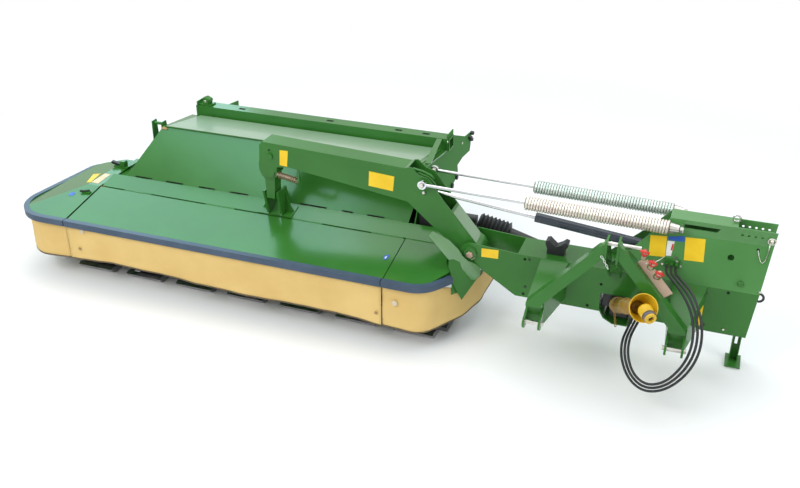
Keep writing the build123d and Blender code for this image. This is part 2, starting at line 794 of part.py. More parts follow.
# Mower unit: carrier tube with its brackets down to the cutterbar
carrier_y = (545.0, 645.0)
carrier_z = (460.0, 560.0)
carrier_left = seam_left + 10.0
carrier_right = deck_right - 8.0
with BuildPart() as carrier:
    block((carrier_left, carrier_right), carrier_y, carrier_z)
    block(
        (carrier_left - 1.0, carrier_right + 1.0),
        (carrier_y[0] + 8.0, carrier_y[1] - 8.0),
        (carrier_z[0] + 8.0, carrier_z[1] - 8.0),
        Mode.SUBTRACT,
    )
    hanger = [
        (560.0, skid_height),
        (700.0, skid_height),
        (760.0, 110.0),
        (760.0, 540.0),
        (carrier_y[1], 540.0),
        (carrier_y[1], 470.0),
        (705.0, 470.0),
        (705.0, 160.0),
        (672.0, bar_top),
        (560.0, bar_top),
    ]
    for x in (-3920.0, -3060.0, -2180.0, -1300.0):
        plate(cross(x), hanger, 16.0)

# Cutterbar with a hub under each disc, and its skids
bar_left = disc_middle - 3.0 * disc_pitch - 230.0
bar_right = disc_middle + 3.0 * disc_pitch + 230.0
disc_x = [disc_middle + disc_pitch * (number - 3) for number in range(disc_count)]
with BuildPart() as cutterbar:
    section = [(250.0, 62.0), (275.0, skid_height), (559.7, skid_height), (559.7, bar_top), (285.0, bar_top), (250.0, 92.0)]
    plate(cross(bar_left), section, bar_right - bar_left)
    for x in disc_x:
        disc(flat(bar_top - 1.0), x, disc_y, 62.0, disc_z - bar_top + 1.0 - pin_clear)
with BuildPart() as skids:
    runner = [(190.0, 44.0), (215.0, 12.0), (250.0, 0.0), (650.0, 0.0), (700.0, 26.0), (700.0, skid_height), (250.0, skid_height), (215.0, 56.0)]
    for x in disc_x:
        plate(cross(x - 150.0), runner, 300.0)

# Discs: oval, with two blades each; the outer two carry crop drums
disc_parts = []
for number, x in enumerate(disc_x):
    turn = 90.0 * (number % 2)
    with BuildPart() as rotor:
        with BuildSketch(flat(disc_z)):
            with Locations(Location((x, disc_y, 0), (0, 0, turn))):
                Ellipse(disc_long, disc_short)
        extrude(amount=16.0)
        with BuildSketch(flat(disc_z)):
            with Locations(Location((x, disc_y, 0), (0, 0, turn))):
                Rectangle(2 * blade_reach, blade_width)
        extrude(amount=5.0)
        if number in (0, disc_count - 1):
            disc(flat(disc_z + 16.0), x, disc_y, 120.0, 190.0)
            disc(flat(disc_z + 206.0), x, disc_y, 138.0, 14.0)
        else:
            with BuildSketch(flat(disc_z + 16.0)):
                with Locations((x, disc_y)):
                    Circle(105.0)
            extrude(amount=26.0, taper=35.0)
    disc_parts.append(rotor)

# Conditioner rollers with straight ribs and stub shafts
roller_parts = []
for number, (y, z) in enumerate((lower_roller, upper_roller)):
    with BuildPart() as roller:
        with BuildSketch(cross(roller_left)):
            with Locations((y, z)):
                Circle(roller_core_r)
                with PolarLocations(roller_r - 18.0, roller_ribs, start_angle=22.5 * number):
                    Rectangle(34.0, 22.0)
                Circle(roller_core_r - 8.0, mode=Mode.SUBTRACT)
        extrude(amount=roller_right - roller_left)
        for end in (roller_left, roller_right - 8.0):
            disc(cross(end), y, z, roller_core_r, 8.0)
        disc(cross(frame_left - 6.0), y, z, roller_shaft_r, roller_left - frame_left + 6.0)
        disc(cross(roller_right), y, z, roller_shaft_r, frame_right + frame_plate + 6.0 - roller_right)
    roller_parts.append(roller)

# Side frames of the conditioner, reaching back past the rear bar
frame_outline = [
    (carrier_y[1] + pin_clear, 555.0),
    (carrier_y[1] + pin_clear, 482.0),
    (712.0, 470.0),
    (712.0, 170.0),
    (790.0, 60.0),
    (1210.0, 60.0),
    (1470.0, 330.0),
    (1534.0, 534.0),
    (1707.0, 590.0),
    (1688.0, 674.0),
    (1828.0, 685.0),
    (2036.0, 662.0),
    (2057.0, 735.0),
    (2066.0, 822.0),
    (1895.0, 842.0),
    (1545.0, 985.0),
    (1545.0, 1035.0),
    (1402.5, 1035.0),
    (1402.5, hood_top - roof_drop - 10.6),
    (ridge_y, hood_top - 10.3),
    (hood_front + 2.0, hood_bottom - 7.6),
    (carrier_y[1] + pin_clear, 600.0),
]
with BuildPart() as side_frames:
    for x in (frame_left, frame_right):
        plate(cross(x), frame_outline, frame_plate)
        plate(
            cross(x - 1.0),
            [
                (bar_front - pin_clear, bar_bottom - pin_clear),
                (bar_rear + pin_clear, bar_bottom - pin_clear),
                (bar_rear + pin_clear, hood_top + pin_clear),
                (bar_front - pin_clear, hood_top + pin_clear),
            ],
            frame_plate + 2.0,
            Mode.SUBTRACT,
        )
    for y, z in (lower_roller, upper_roller):
        disc(cross(frame_left - 10.0), y, z, roller_shaft_r + pin_clear, frame_right - frame_left + 40.0, Mode.SUBTRACT)

# Rear bar
with BuildPart() as rear_bar:
    block((frame_left - 12.0, frame_right + 20.0), (bar_front, bar_rear), (bar_bottom, hood_top))
    block((frame_left - 13.0, frame_right + 21.0), (bar_front + 6.0, bar_rear - 6.0), (bar_bottom + 6.0, hood_top - 6.0), Mode.SUBTRACT)

    strut_start = at(-1443.0, 905.0, 1005.0)
    strut_end = at(-1518.0, bar_front + 1.0, 994.0)
    strut = strut_end - strut_start
    with BuildSketch(Plane(origin=strut_start, x_dir=strut.cross(Vector(0, 0, 1)), z_dir=strut)) as strut_section:
        Rectangle(42.0, 8.0)
    extrude(strut_section.sketch, amount=strut.length)

# Hood: sloping front and left flank, open at the right; its roof falls back to the rear bar
hood_drop = 10.0
with BuildPart() as hood:
    with BuildSketch(flat(hood_bottom)) as hood_low:
        Polygon(
            (hood_low_left, hood_front),
            (hood_low_right, hood_front),
            (hood_low_right, bar_front - 6.0),
            (hood_low_left, bar_front - 6.0),
            align=None,
        )
    with BuildSketch(flat(hood_top)) as hood_high:
        Polygon(
            (hood_top_left, ridge_y),
            (hood_top_right, ridge_y),
            (hood_top_right, bar_front - 6.0),
            (hood_top_left, bar_front - 6.0),
            align=None,
        )
    loft([hood_low.sketch.face(), hood_high.sketch.face()])
    roof_run = bar_front - 6.0 - ridge_y
    split(bisect_by=Plane(origin=at(0, ridge_y, hood_top), z_dir=(0, roof_drop, roof_run)), keep=Keep.BOTTOM)
    hood_solid = hood.part
    add(hood_solid.moved(Location((0, 0, -hood_drop))), mode=Mode.SUBTRACT)
    lip = [
        (ridge_y - 14.0, hood_top + 2.0),
        (bar_front - 20.0, hood_top - roof_drop + 3.0),
        (bar_front - 20.0, hood_top - roof_drop + 9.0),
        (ridge_y - 14.0, hood_top + 8.0),
    ]
    plate(cross(hood_top_left + 25.0), lip, hood_top_right - hood_top_left - 75.0)
    for x, low in ((hood_top_left - 116.0, 806.0), (hood_top_left - 28.0, 940.0)):
        plate(cross(x), [(905.0, low), (985.0, low), (975.0, 1022.0), (915.0, 1022.0)], 8.0)
    rod((hood_top_left - 116.0, 945.0, 1000.0), (hood_top_left - 20.0, 945.0, 1000.0), 12.0)

# Deck strip between the front cover's hinge and the hood
deck_profile = [
    (deck_edge, hinge_z - 6.0),
    (hood_front, hood_bottom - 6.0),
    (hood_front, hood_bottom - pin_clear),
    (deck_edge, hinge_z),
]
knuckle_x = (-3700.0, -2980.0, -2260.0, -1640.0)
left_hinge_x = seam_left - 3.0
with BuildPart() as deck:
    plate(cross(seam_left + 6.0), deck_profile, deck_right - seam_left - 6.0)
    block((seam_left + 10.0, deck_right), (560.0, 640.0), (carrier_z[1], 612.0))
    for x in knuckle_x:
        disc(cross(x), hinge_y + 4.0, knuckle_z, knuckle_r, 80.0)
        block((x, x + 80.0), (hinge_y + 6.0, deck_edge + 1.0), (knuckle_z - 3.0, hinge_z))
    disc(side(608.0), left_hinge_x, knuckle_z, knuckle_r, 46.0)
    block((left_hinge_x + 3.0, seam_left + 11.0), (562.0, 608.0), (knuckle_z - 3.0, hinge_z + 2.0))

# Pendulum link from the boom's end down to the bracket on the deck
with BuildPart() as pendulum_link:
    link_x = pendulum_x - 35.0
    link_outline = [
        (link_x - 32.0, 760.0),
        (link_x + 32.0, 760.0),
        (link_x + 42.0, 905.0),
        (pendulum_x + 42.0, pendulum_z - 20.0),
        (pendulum_x + 30.0, pendulum_z + 34.0),
        (pendulum_x - 40.0, pendulum_z + 34.0),
        (pendulum_x - 112.0, pendulum_z - 76.0),
        (pendulum_x - 110.0, pendulum_z - 140.0),
        (link_x - 34.0, 905.0),
    ]
    plate(side(link_rear), link_outline, link_rear - link_front)
    disc(side(boom_rear), pendulum_x, pendulum_z, pendulum_r + pin_clear, 260.0, Mode.SUBTRACT)
    disc(cross(link_x - 60.0), 520.0, 785.0, 14.0 + pin_clear, 120.0, Mode.SUBTRACT)
with BuildPart() as deck_bracket:
    for low, high in ((link_x - 62.0, link_x - 45.0), (link_x + 45.0, link_x + 62.0)):
        ear = [(455.0, 812.0), (590.0, 812.0), (640.0, 640.0), (500.0, 618.0)]
        plate(cross(low), ear, high - low)
    foot = [(510.0, 601.6), (630.0, 633.5), (630.0, 642.0), (500.0, 607.0)]
    plate(cross(link_x - 150.0), foot, 280.0)
    for hand in (-1, 1):
        gusset = [
            (link_x + hand * 61.0, 620.0),
            (link_x + hand * 128.0, 620.0),
            (link_x + hand * 92.0, 680.0),
            (link_x + hand * 61.0, 790.0),
        ]
        plate(side(572.0), gusset, 12.0)
    disc(cross(link_x - 62.0), 520.0, 785.0, 14.0, 124.0)

# Front cover with its edge strip and skirt
cover_left = seam_left + seam_gap
cover_right = seam_right - seam_gap
with BuildPart() as front_cover:
    cover_edge = hinge_y - 4.0
    cover_profile = [(edge_y - 5.0, edge_z - 5.0), (cover_edge, hinge_z - sheet), (cover_edge, hinge_z), (edge_y - 5.0, edge_z)]
    plate(cross(cover_left), cover_profile, cover_right - cover_left)
    for x in knuckle_x:
        for low in (x - 80.3, x + 80.3):
            disc(cross(low), hinge_y + 4.0, knuckle_z, knuckle_r, 80.0)
            block((low, low + 80.0), (cover_edge - 1.0, hinge_y + 2.0), (knuckle_z - 3.0, hinge_z))
strip_low = edge_z - strip_height + 11.0
with BuildPart() as front_strip:
    block((cover_left, cover_right), (edge_y - 6.0 - strip_width, edge_y - 5.0 - pin_clear), (strip_low, strip_low + strip_height))
with BuildPart() as front_skirt:
    skirt_top = strip_low - pin_clear
    skirt_profile = [(22.0, skirt_top), (22.0 + skirt_t, skirt_top), (20.0 + skirt_t, skirt_bottom), (20.0, skirt_bottom)]
    plate(cross(cover_left), skirt_profile, cover_right - cover_left)

# Side guards: a sheet sloping down to the same edge, its strip and its skirt
left_path = [(seam_left, 18.0), (seam_left - 520.0, 18.0), (seam_left - 395.0, 985.0), (seam_left - 150.0, 1030.0)]
left_radii = [270.0, 130.0]
right_path = [(seam_right, 18.0), (seam_right + 290.0, 18.0), (seam_right + 420.0, 218.0)]
right_radii = [190.0]


def band(path, radii, width, low, high):
    """A wall of even width that follows an edge path in plan."""
    with BuildSketch(flat(low)) as trail:
        with BuildLine() as line:
            FilletPolyline(*path, radius=radii)
        trace(line.line, line_width=width)
    extrude(trail.sketch, amount=high - low)


with BuildPart() as left_guard:
    with BuildSketch(flat(500.0)):
        with BuildLine():
            edge = FilletPolyline(
                (left_hinge_x - 7.5, 38.3),
                (seam_left - 496.95, 38.3),
                (seam_left - 376.8, 967.6),
                (seam_left - 150.0, 1009.4),
                radius=[250.0, 110.0],
            )
            Polyline(edge @ 1, (left_hinge_x - 7.5, 1009.4), (left_hinge_x - 7.5, 38.3))
        make_face()
    extrude(amount=110.0)
    slopes = [
        Plane(origin=at(0, 40.0, edge_z), z_dir=(0, -(hinge_z - edge_z), hinge_y - 40.0)),
        Plane(origin=at(seam_left - 498.0, 0, edge_z - 6.0), z_dir=(-86.0, 0, 380.0)),
        Plane(origin=at(0, 0, hinge_z)),
    ]
    for slope in slopes:
        split(bisect_by=slope, keep=Keep.BOTTOM)
    add(left_guard.part.moved(Location((0, 0, -sheet))), mode=Mode.SUBTRACT)
    for low in (561.7, 638.6):
        disc(side(low), left_hinge_x, knuckle_z, knuckle_r, 30.0)
        block((left_hinge_x - 8.0, left_hinge_x - 3.0), (low - 30.0, low), (knuckle_z - 3.0, hinge_z))
with BuildPart() as left_strip:
    band(left_path, left_radii, strip_width, strip_low, strip_low + strip_height)
with BuildPart() as left_skirt:
    left_line = [(seam_left, 36.0), (seam_left - 502.0, 36.0), (seam_left - 382.0, 972.0), (seam_left - 150.0, 1014.0)]
    band(left_line, [254.0, 116.0], skirt_t, skirt_bottom - 30.0, strip_low - pin_clear)
with BuildPart() as right_guard:
    with BuildSketch(flat(500.0)):
        with BuildLine():
            edge = FilletPolyline((seam_right, 38.3), (seam_right + 279.0, 38.3), (seam_right + 402.9, 229.1), radius=170.0)
            Polyline(
                edge @ 1,
                (deck_right, 330.0),
                (deck_right, deck_edge),
                (seam_right, deck_edge),
                (seam_right, 38.3),
            )
        make_face()
    extrude(amount=110.0)
    split(bisect_by=slopes[0], keep=Keep.BOTTOM)
    split(bisect_by=slopes[2], keep=Keep.BOTTOM)
    add(right_guard.part.moved(Location((0, 0, -sheet))), mode=Mode.SUBTRACT)
with BuildPart() as right_strip:
    band(right_path, right_radii, strip_width, strip_low, strip_low + strip_height)
with BuildPart() as right_skirt:
    corner_line = [(seam_right, 36.0), (seam_right + 284.0, 36.0), (seam_right + 402.0, 216.0)]
    inner_line = [(seam_right + 402.0, 216.0), (seam_right + 475.0, 330.0), (seam_right + 535.0, 560.0), (seam_right + 548.0, 880.0)]
    band(corner_line, [176.0], skirt_t, skirt_bottom, strip_low - pin_clear)
    band(inner_line, [200.0, 300.0], skirt_t, skirt_bottom - 10.0, 360.0)

# Inner end: shield in front of the beam, rail for the curtain, deck and gearbox
with BuildPart() as inner_shield:
    start = at(seam_right + 420.3, 218.4, 0)
    finish = at(seam_right + 592.0, 380.0, 0)
    run = finish - start
    shield_plane = Plane(origin=start, x_dir=run.normalized(), z_dir=run.cross(Vector(0, 0, 1)))
    length = run.length
    with BuildSketch(shield_plane) as shield_outline:
        Polygon(
            (-20.0, 661.0),
            (16.0, 657.0),
            (62.0, 625.0),
            (84.0, 561.0),
            (152.0, 469.0),
            (180.0, 463.0),
            (214.0, 490.0),
            (84.0, 326.0),
            (0.0, 500.0),
            (0.0, 545.0),
            (-20.0, 600.0),
            align=None,
        )
    extrude(shield_outline.sketch, amount=-5.0)
    flange_start = at(-1217.0, 250.0, 791.0)
    flange_end = at(-893.0, 375.0, 514.0)
    flange_run = flange_end - flange_start
    flange_normal = Vector(0.664, -0.506, 0.55)
    flange_plane = Plane(origin=flange_start, x_dir=flange_run.normalized(), z_dir=flange_normal)
    flange_points = [
        (-1199.0, 290.0, 806.0),
        (-1217.0, 250.0, 791.0),
        (-1073.0, 262.0, 627.0),
        (-1046.0, 290.0, 621.0),
        (-1008.0, 310.0, 594.0),
        (-985.0, 294.0, 550.0),
        (-923.0, 300.0, 481.0),
        (-902.0, 320.0, 475.0),
        (-893.0, 375.0, 514.0),
        (-967.0, 350.0, 581.0),
        (-1003.0, 348.0, 623.0),
        (-1032.0, 354.0, 663.0),
        (-1100.0, 341.0, 733.0),
    ]
    with BuildSketch(flange_plane) as flange:
        Polygon(*[tuple(flange_plane.to_local_coords(at(*p)))[:2] for p in flange_points], align=None)
    extrude(flange.sketch, amount=-5.0)
with BuildPart() as inner_rail:
    rail_line = [(seam_right + 390.0, 224.0), (seam_right + 461.0, 336.0), (seam_right + 520.0, 562.0), (seam_right + 533.0, 880.0)]
    band(rail_line, [190.0, 290.0], 20.0, 330.0, 372.0)
    block((deck_right - 12.0, seam_right + 530.0), (840.0, 870.0), (334.0, 368.0))
    block((deck_right - 30.0, deck_right), (840.0, 870.0), (334.0, 500.0 - pin_clear))
with BuildPart() as drive_head:
    head_left = hood_top_right + 8.0
    block((head_left, head_left + 180.0), (690.0, 820.0), (590.0, 760.0))
    rod((head_left + 179.0, drive_y, 703.0), (bellows_left[0] - 15.0, drive_y, 703.0), 40.0)
    block((head_left, head_left + 110.0), (carrier_y[1] + pin_clear, 870.0), (480.0, 592.0))

nodes = {
    "beam": beam,
    "tower": tower,
    "headstock_frame": headstock_frame,
    "hitch_pins": hitch_pins,
    "pivot_pins": pivot_pins,
    "rest_block": rest_block,
    "stand_guide": stand_guide,
    "stand_leg": stand_leg,
    "hose_gland": hose_gland,
    "hose_1": hoses[0],
    "hose_2": hoses[1],
    "hose_3": hoses[2],
    "couplers": couplers,
    "hose_holder": hose_holder,
    "gearbox": gearbox,
    "drive_guard": drive_guard,
    "inner_shaft": inner_shaft,
    "drive_yoke": drive_yoke,
    "drive_shaft": drive_shaft,
    "bellows": bellows,
    "boom": boom,
    "hook_spring": hook_spring,
    "cylinder_barrel": cylinder_barrel,
    "cylinder_rod": cylinder_rod,
    "front_spring": spring_parts["front"][0],
    "front_spring_seat": spring_parts["front"][1],
    "front_spring_rod": spring_parts["front"][2],
    "rear_spring": spring_parts["rear"][0],
    "rear_spring_seat": spring_parts["rear"][1],
    "rear_spring_rod": spring_parts["rear"][2],
    "carrier": carrier,
    "cutterbar": cutterbar,
    "skids": skids,
    "lower_roller": roller_parts[0],
    "upper_roller": roller_parts[1],
    "side_frames": side_frames,
    "rear_bar": rear_bar,
    "hood": hood,
    "deck": deck,
    "pendulum_link": pendulum_link,
    "deck_bracket": deck_bracket,
    "front_cover": front_cover,
    "front_strip": front_strip,
    "front_skirt": front_skirt,
    "left_guard": left_guard,
    "left_strip": left_strip,
    "left_skirt": left_skirt,
    "right_guard": right_guard,
    "right_strip": right_strip,
    "right_skirt": right_skirt,
    "inner_shield": inner_shield,
    "inner_rail": inner_rail,
    "drive_head": drive_head,
}
for number, rotor in enumerate(disc_parts):
    nodes[f"disc_{number + 1}"] = rotor

os.makedirs("parts", exist_ok=True)
for name, piece in nodes.items():
    piece.part.label = name
    export_step(piece.part, f"parts/{name}.step")
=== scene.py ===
import math

import bmesh
import bpy
from mathutils import Matrix, Vector


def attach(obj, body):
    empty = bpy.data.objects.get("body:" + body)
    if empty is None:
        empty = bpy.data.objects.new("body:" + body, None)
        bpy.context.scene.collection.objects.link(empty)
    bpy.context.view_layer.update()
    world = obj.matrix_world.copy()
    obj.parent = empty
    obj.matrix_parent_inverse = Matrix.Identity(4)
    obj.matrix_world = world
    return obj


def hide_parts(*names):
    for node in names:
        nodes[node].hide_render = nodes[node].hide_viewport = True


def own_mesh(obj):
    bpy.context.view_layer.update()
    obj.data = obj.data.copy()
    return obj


# A disc mower parked on its skids and stand, seen from the front right, on a white ground.
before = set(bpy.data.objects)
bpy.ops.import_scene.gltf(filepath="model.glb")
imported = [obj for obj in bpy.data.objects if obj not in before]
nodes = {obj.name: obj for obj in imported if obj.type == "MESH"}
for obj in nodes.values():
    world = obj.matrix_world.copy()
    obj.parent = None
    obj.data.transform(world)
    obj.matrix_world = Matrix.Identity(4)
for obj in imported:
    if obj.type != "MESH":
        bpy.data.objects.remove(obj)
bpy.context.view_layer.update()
scene = bpy.context.scene

# Sizes and places in metres. Places are measured from the hitch centre, and at() moves them
hitch = Vector((1.798, -0.931, 0.0))
fade_start = 3.4
fade_end = 5.6
spring_seat = Vector((0.318, 0.0, 1.050))
spring_eye = Vector((-1.310, 0.0, 1.083))
springs_y = {"front": 0.390, "rear": 0.650}
coil_start = 0.028
coil_end = 0.933
coil_radius = 0.0378
coil_wire = 0.0082
liner_outer = 0.0340
liner_inner = 0.0325
hose_radius = 0.008
top_of_skirt = 0.4826
beam_face = 0.395
boom_face = 0.425
fold_low = 0.686
fold_high = 0.995
fold_step = 0.055
guard_start = (0.035, 0.380, 0.446)
guard_end = (0.230, -0.100, 0.750)
guard_radius = 0.0492
guard_ring_radius = 0.0535
yoke_tip = (0.285, -0.185, 0.735)
cap_radius = 0.0196
cap_length = 0.0275
coupler_length = 0.0605
end_plate_x = -1.4498
plate_lift = 0.0008
plate_thickness = 0.0006
head_lift = 0.0004
hem_below = 0.002
hem_above = 0.009
hem_thicker = 0.003
sheen_gap = 0.0016
sheen_sheet = 0.0010
corner_sheet = 0.003

# Turns, and shares of a length
coil_turns = 50
guard_ring_share = 0.022
link_pitch = 0.72
link_width = 0.27

# Waves along a hanging cloth: rate, share of the seed, height beside the first; then its ripples
cloth_waves = ((5.1, 1, 1.0), (13.0, 2, 0.5), (31.0, 0, 0.2))
ripple_height = 0.0012
ripple_along = 17
ripple_down = 9

# Directions
to_front = (0, -1, 0)
to_right = (1, 0, 0)


def at(x, y, z):
    """A place measured from the hitch centre, in the row frame."""
    return Vector((x, y, z)) + hitch


def lamp(name, place, target, size, power, colour=(1, 1, 1)):
    """A rectangular lamp that faces a target."""
    data = bpy.data.lights.new(name, "AREA")
    data.shape = "RECTANGLE"
    data.size, data.size_y = size
    data.energy = power
    data.color = colour
    lamp_object = bpy.data.objects.new(name, data)
    scene.collection.objects.link(lamp_object)
    lamp_object.location = place
    lamp_object.rotation_euler = (Vector(target) - Vector(place)).to_track_quat("-Z", "Y").to_euler()
    return lamp_object


def finish_of(
    name, dark, light, scale, rough=(0.3, 0.4), metal=0.0, coat=0.0, bump=0.0, bump_scale=60.0, shine=0.5
):
    """A finish whose colour wanders between two tones, with its roughness following."""
    made = bpy.data.materials.new(name)
    made.use_nodes = True
    tree = made.node_tree
    shader = tree.nodes["Principled BSDF"]
    coord = tree.nodes.new("ShaderNodeTexCoord")
    noise = tree.nodes.new("ShaderNodeTexNoise")
    noise.inputs["Scale"].default_value = scale
    noise.inputs["Detail"].default_value = 4.0
    ramp = tree.nodes.new("ShaderNodeValToRGB")
    ramp.color_ramp.elements[0].position = 0.35
    ramp.color_ramp.elements[1].position = 0.68
    ramp.color_ramp.elements[0].color = (*dark, 1)
    ramp.color_ramp.elements[1].color = (*light, 1)
    span = tree.nodes.new("ShaderNodeMapRange")
    span.inputs["To Min"].default_value = rough[0]
    span.inputs["To Max"].default_value = rough[1]
    tree.links.new(coord.outputs["Object"], noise.inputs["Vector"])
    tree.links.new(noise.outputs["Fac"], ramp.inputs[0])
    tree.links.new(ramp.outputs[0], shader.inputs["Base Color"])
    tree.links.new(noise.outputs["Fac"], span.inputs["Value"])
    tree.links.new(span.outputs[0], shader.inputs["Roughness"])
    shader.inputs["Metallic"].default_value = metal
    shader.inputs["Specular IOR Level"].default_value = shine
    shader.inputs["Coat Weight"].default_value = coat
    shader.inputs["Coat Roughness"].default_value = 0.08
    if bump:
        fine = tree.nodes.new("ShaderNodeTexNoise")
        fine.inputs["Scale"].default_value = bump_scale
        lift = tree.nodes.new("ShaderNodeBump")
        lift.inputs["Strength"].default_value = bump
        lift.inputs["Distance"].default_value = 0.002
        tree.links.new(coord.outputs["Object"], fine.inputs["Vector"])
        tree.links.new(fine.outputs["Fac"], lift.inputs["Height"])
        tree.links.new(lift.outputs[0], shader.inputs["Normal"])
    return made


def shown_rays(tree):
    """A value of 1 for rays from the camera, off a mirror or through glass, and 0 for the rest."""
    rays = tree.nodes.new("ShaderNodeLightPath")
    shown = rays.outputs["Is Camera Ray"]
    for kind in ("Is Glossy Ray", "Is Transmission Ray"):
        either = tree.nodes.new("ShaderNodeMath")
        either.operation = "MAXIMUM"
        tree.links.new(shown, either.inputs[0])
        tree.links.new(rays.outputs[kind], either.inputs[1])
        shown = either.outputs[0]
    return shown


def piece(name, mesh, material, body, smooth=False):
    """Links a mesh as a piece that rides on a body."""
    made = bpy.data.objects.new(name, mesh)
    scene.collection.objects.link(made)
    made.data.materials.append(material)
    if smooth:
        for face in made.data.polygons:
            face.use_smooth = True
    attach(made, body)
    return made


def mesh_of(name, verts, faces):
    """A mesh from its corners and faces."""
    mesh = bpy.data.meshes.new(name)
    mesh.from_pydata([tuple(v) for v in verts], [], faces)
    mesh.update()
    return mesh


def helix(name, start, end, radius, wire, turns, material, body, per_turn=20, around=8):
    """A closed wire coil along the line from start to end."""
    along = end - start
    length = along.length
    along.normalize()
    across = along.cross(Vector((0, 0, 1))).normalized()
    up = across.cross(along)
    count = int(turns * per_turn)
    verts, faces = [], []
    for i in range(count + 1):
        t = i / count
        a = 2 * math.pi * turns * t
        out = across * math.cos(a) + up * math.sin(a)
        centre = start + along * (wire + (length - 2 * wire) * t) + out * radius
        for k in range(around):
            b = 2 * math.pi * k / around
            verts.append(centre + (out * math.cos(b) + along * math.sin(b)) * wire)
    for i in range(count):
        for k in range(around):
            a0 = i * around + k
            a1 = i * around + (k + 1) % around
            faces.append((a0, a1, a1 + around, a0 + around))
    faces.append(tuple(range(around - 1, -1, -1)))
    faces.append(tuple(range(count * around, (count + 1) * around)))
    return piece(name, mesh_of(name, verts, faces), material, body, smooth=True)


def rounded(points, radii, step=0.02):
    """A path in plan with rounded corners, as evenly spaced points."""
    out = [Vector(points[0])]
    for before, corner, after, radius in zip(points, points[1:], points[2:], radii):
        c = Vector(corner)
        a = (Vector(before) - c).normalized()
        b = (Vector(after) - c).normalized()
        half = a.angle(b) / 2
        reach = radius / math.tan(half)
        centre = c + (a + b).normalized() * (radius / math.sin(half))
        start, end = c + a * reach, c + b * reach
        v0, v1 = start - centre, end - centre
        turn = v0.angle(v1)
        sign = 1 if v0.cross(v1) > 0 else -1
        for i in range(13):
            w = sign * turn * i / 12
            cos, sin = math.cos(w), math.sin(w)
            out.append(centre + Vector((v0.x * cos - v0.y * sin, v0.x * sin + v0.y * cos)))
    out.append(Vector(points[-1]))
    even = [out[0].copy()]
    total = sum((b - a).length for a, b in zip(out, out[1:]))
    count = max(2, round(total / step))
    pitch = total / count
    travelled, goal = 0.0, pitch
    for a, b in zip(out, out[1:]):
        run = (b - a).length
        while run > 0 and goal <= travelled + run + 1e-9 and len(even) <= count:
            even.append(a + (b - a) * ((goal - travelled) / run))
            goal += pitch
        travelled += run
    return even


def skirt(name, path, top, bottoms, body, replaced, seed=0.0, tops=None, wave=0.006, thick=0.003):
    """A hanging cloth along a path in plan. bottoms gives the hem's height along the path."""
    count = len(path)
    rows = 12
    verts, faces, lengths = [], [], [0.0]
    for a, b in zip(path, path[1:]):
        lengths.append(lengths[-1] + (b - a).length)
    for i, p in enumerate(path):
        before, after = path[max(0, i - 1)], path[min(count - 1, i + 1)]
        along = (after - before).normalized()
        out = Vector((along.y, -along.x))
        s = lengths[i]
        share = s / lengths[-1] * (len(bottoms) - 1)
        k = min(int(share), len(bottoms) - 2)
        hem = bottoms[k] + (bottoms[k + 1] - bottoms[k]) * (share - k)
        head = tops[k] + (tops[k + 1] - tops[k]) * (share - k) if tops else top
        for j in range(rows + 1):
            t = j / rows
            z = head + (hem - head) * t
            swell = sum(height * math.sin(rate * s + shift * seed) for rate, shift, height in cloth_waves)
            push = wave * t * t * swell
            push += ripple_height * math.sin(ripple_along * s + ripple_down * t + seed)
            q = p + out * push
            verts.append(at(q.x, q.y, z))
    for i in range(count - 1):
        for j in range(rows):
            a = i * (rows + 1) + j
            faces.append((a, a + 1, a + rows + 2, a + rows + 1))
    sheet_piece = piece(name, mesh_of(name, verts, faces), cloth, body, smooth=True)
    solid = sheet_piece.modifiers.new("thickness", "SOLIDIFY")
    solid.thickness = thick
    solid.offset = 0.0
    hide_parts(replaced)
    hem_faces, hem_verts = [], []
    for i in range(count):
        base = verts[i * (rows + 1) + rows]
        hem_verts.extend([base + Vector((0, 0, -hem_below)), base + Vector((0, 0, hem_above))])
    for i in range(count - 1):
        hem_faces.append((2 * i, 2 * i + 1, 2 * i + 3, 2 * i + 2))
    hem_piece = piece(
        f"{name}_hem", mesh_of(f"{name}_hem", hem_verts, hem_faces), dark_hem, body, smooth=True
    )
    solid = hem_piece.modifiers.new("thickness", "SOLIDIFY")
    solid.thickness = thick + hem_thicker
    solid.offset = 0.0


def label(name, corners, material, body, lift=plate_lift):
    """A thin plate on four corners given in order round it."""
    points = [at(*c) for c in corners]
    normal = (points[1] - points[0]).cross(points[3] - points[0]).normalized()
    verts = [p + normal * lift for p in points] + [p + normal * (lift + plate_thickness) for p in points]
    faces = [(3, 2, 1, 0), (4, 5, 6, 7), (0, 1, 5, 4), (1, 2, 6, 5), (2, 3, 7, 6), (3, 0, 4, 7)]
    return piece(name, mesh_of(name, verts, faces), material, body)


def tower_y(z):
    """The tower's front face at a height."""
    return beam_face + max(0.0, min(1.0, (z - fold_low) / (fold_high - fold_low))) * fold_step


def on_face(y, *places):
    """Places on an upright face at y, each given as its x and z."""
    return [(x, y, z) for x, z in places]


def on_tower(*places):
    """Places on the tower's front face, each given as its x and z."""
    return [(x, tower_y(z), z) for x, z in places]


def between(x0, x1, front, back):
    """Corners of a rectangle between two edges along x, each edge given as its y and z."""
    return [(x0, *front), (x1, *front), (x1, *back), (x0, *back)]


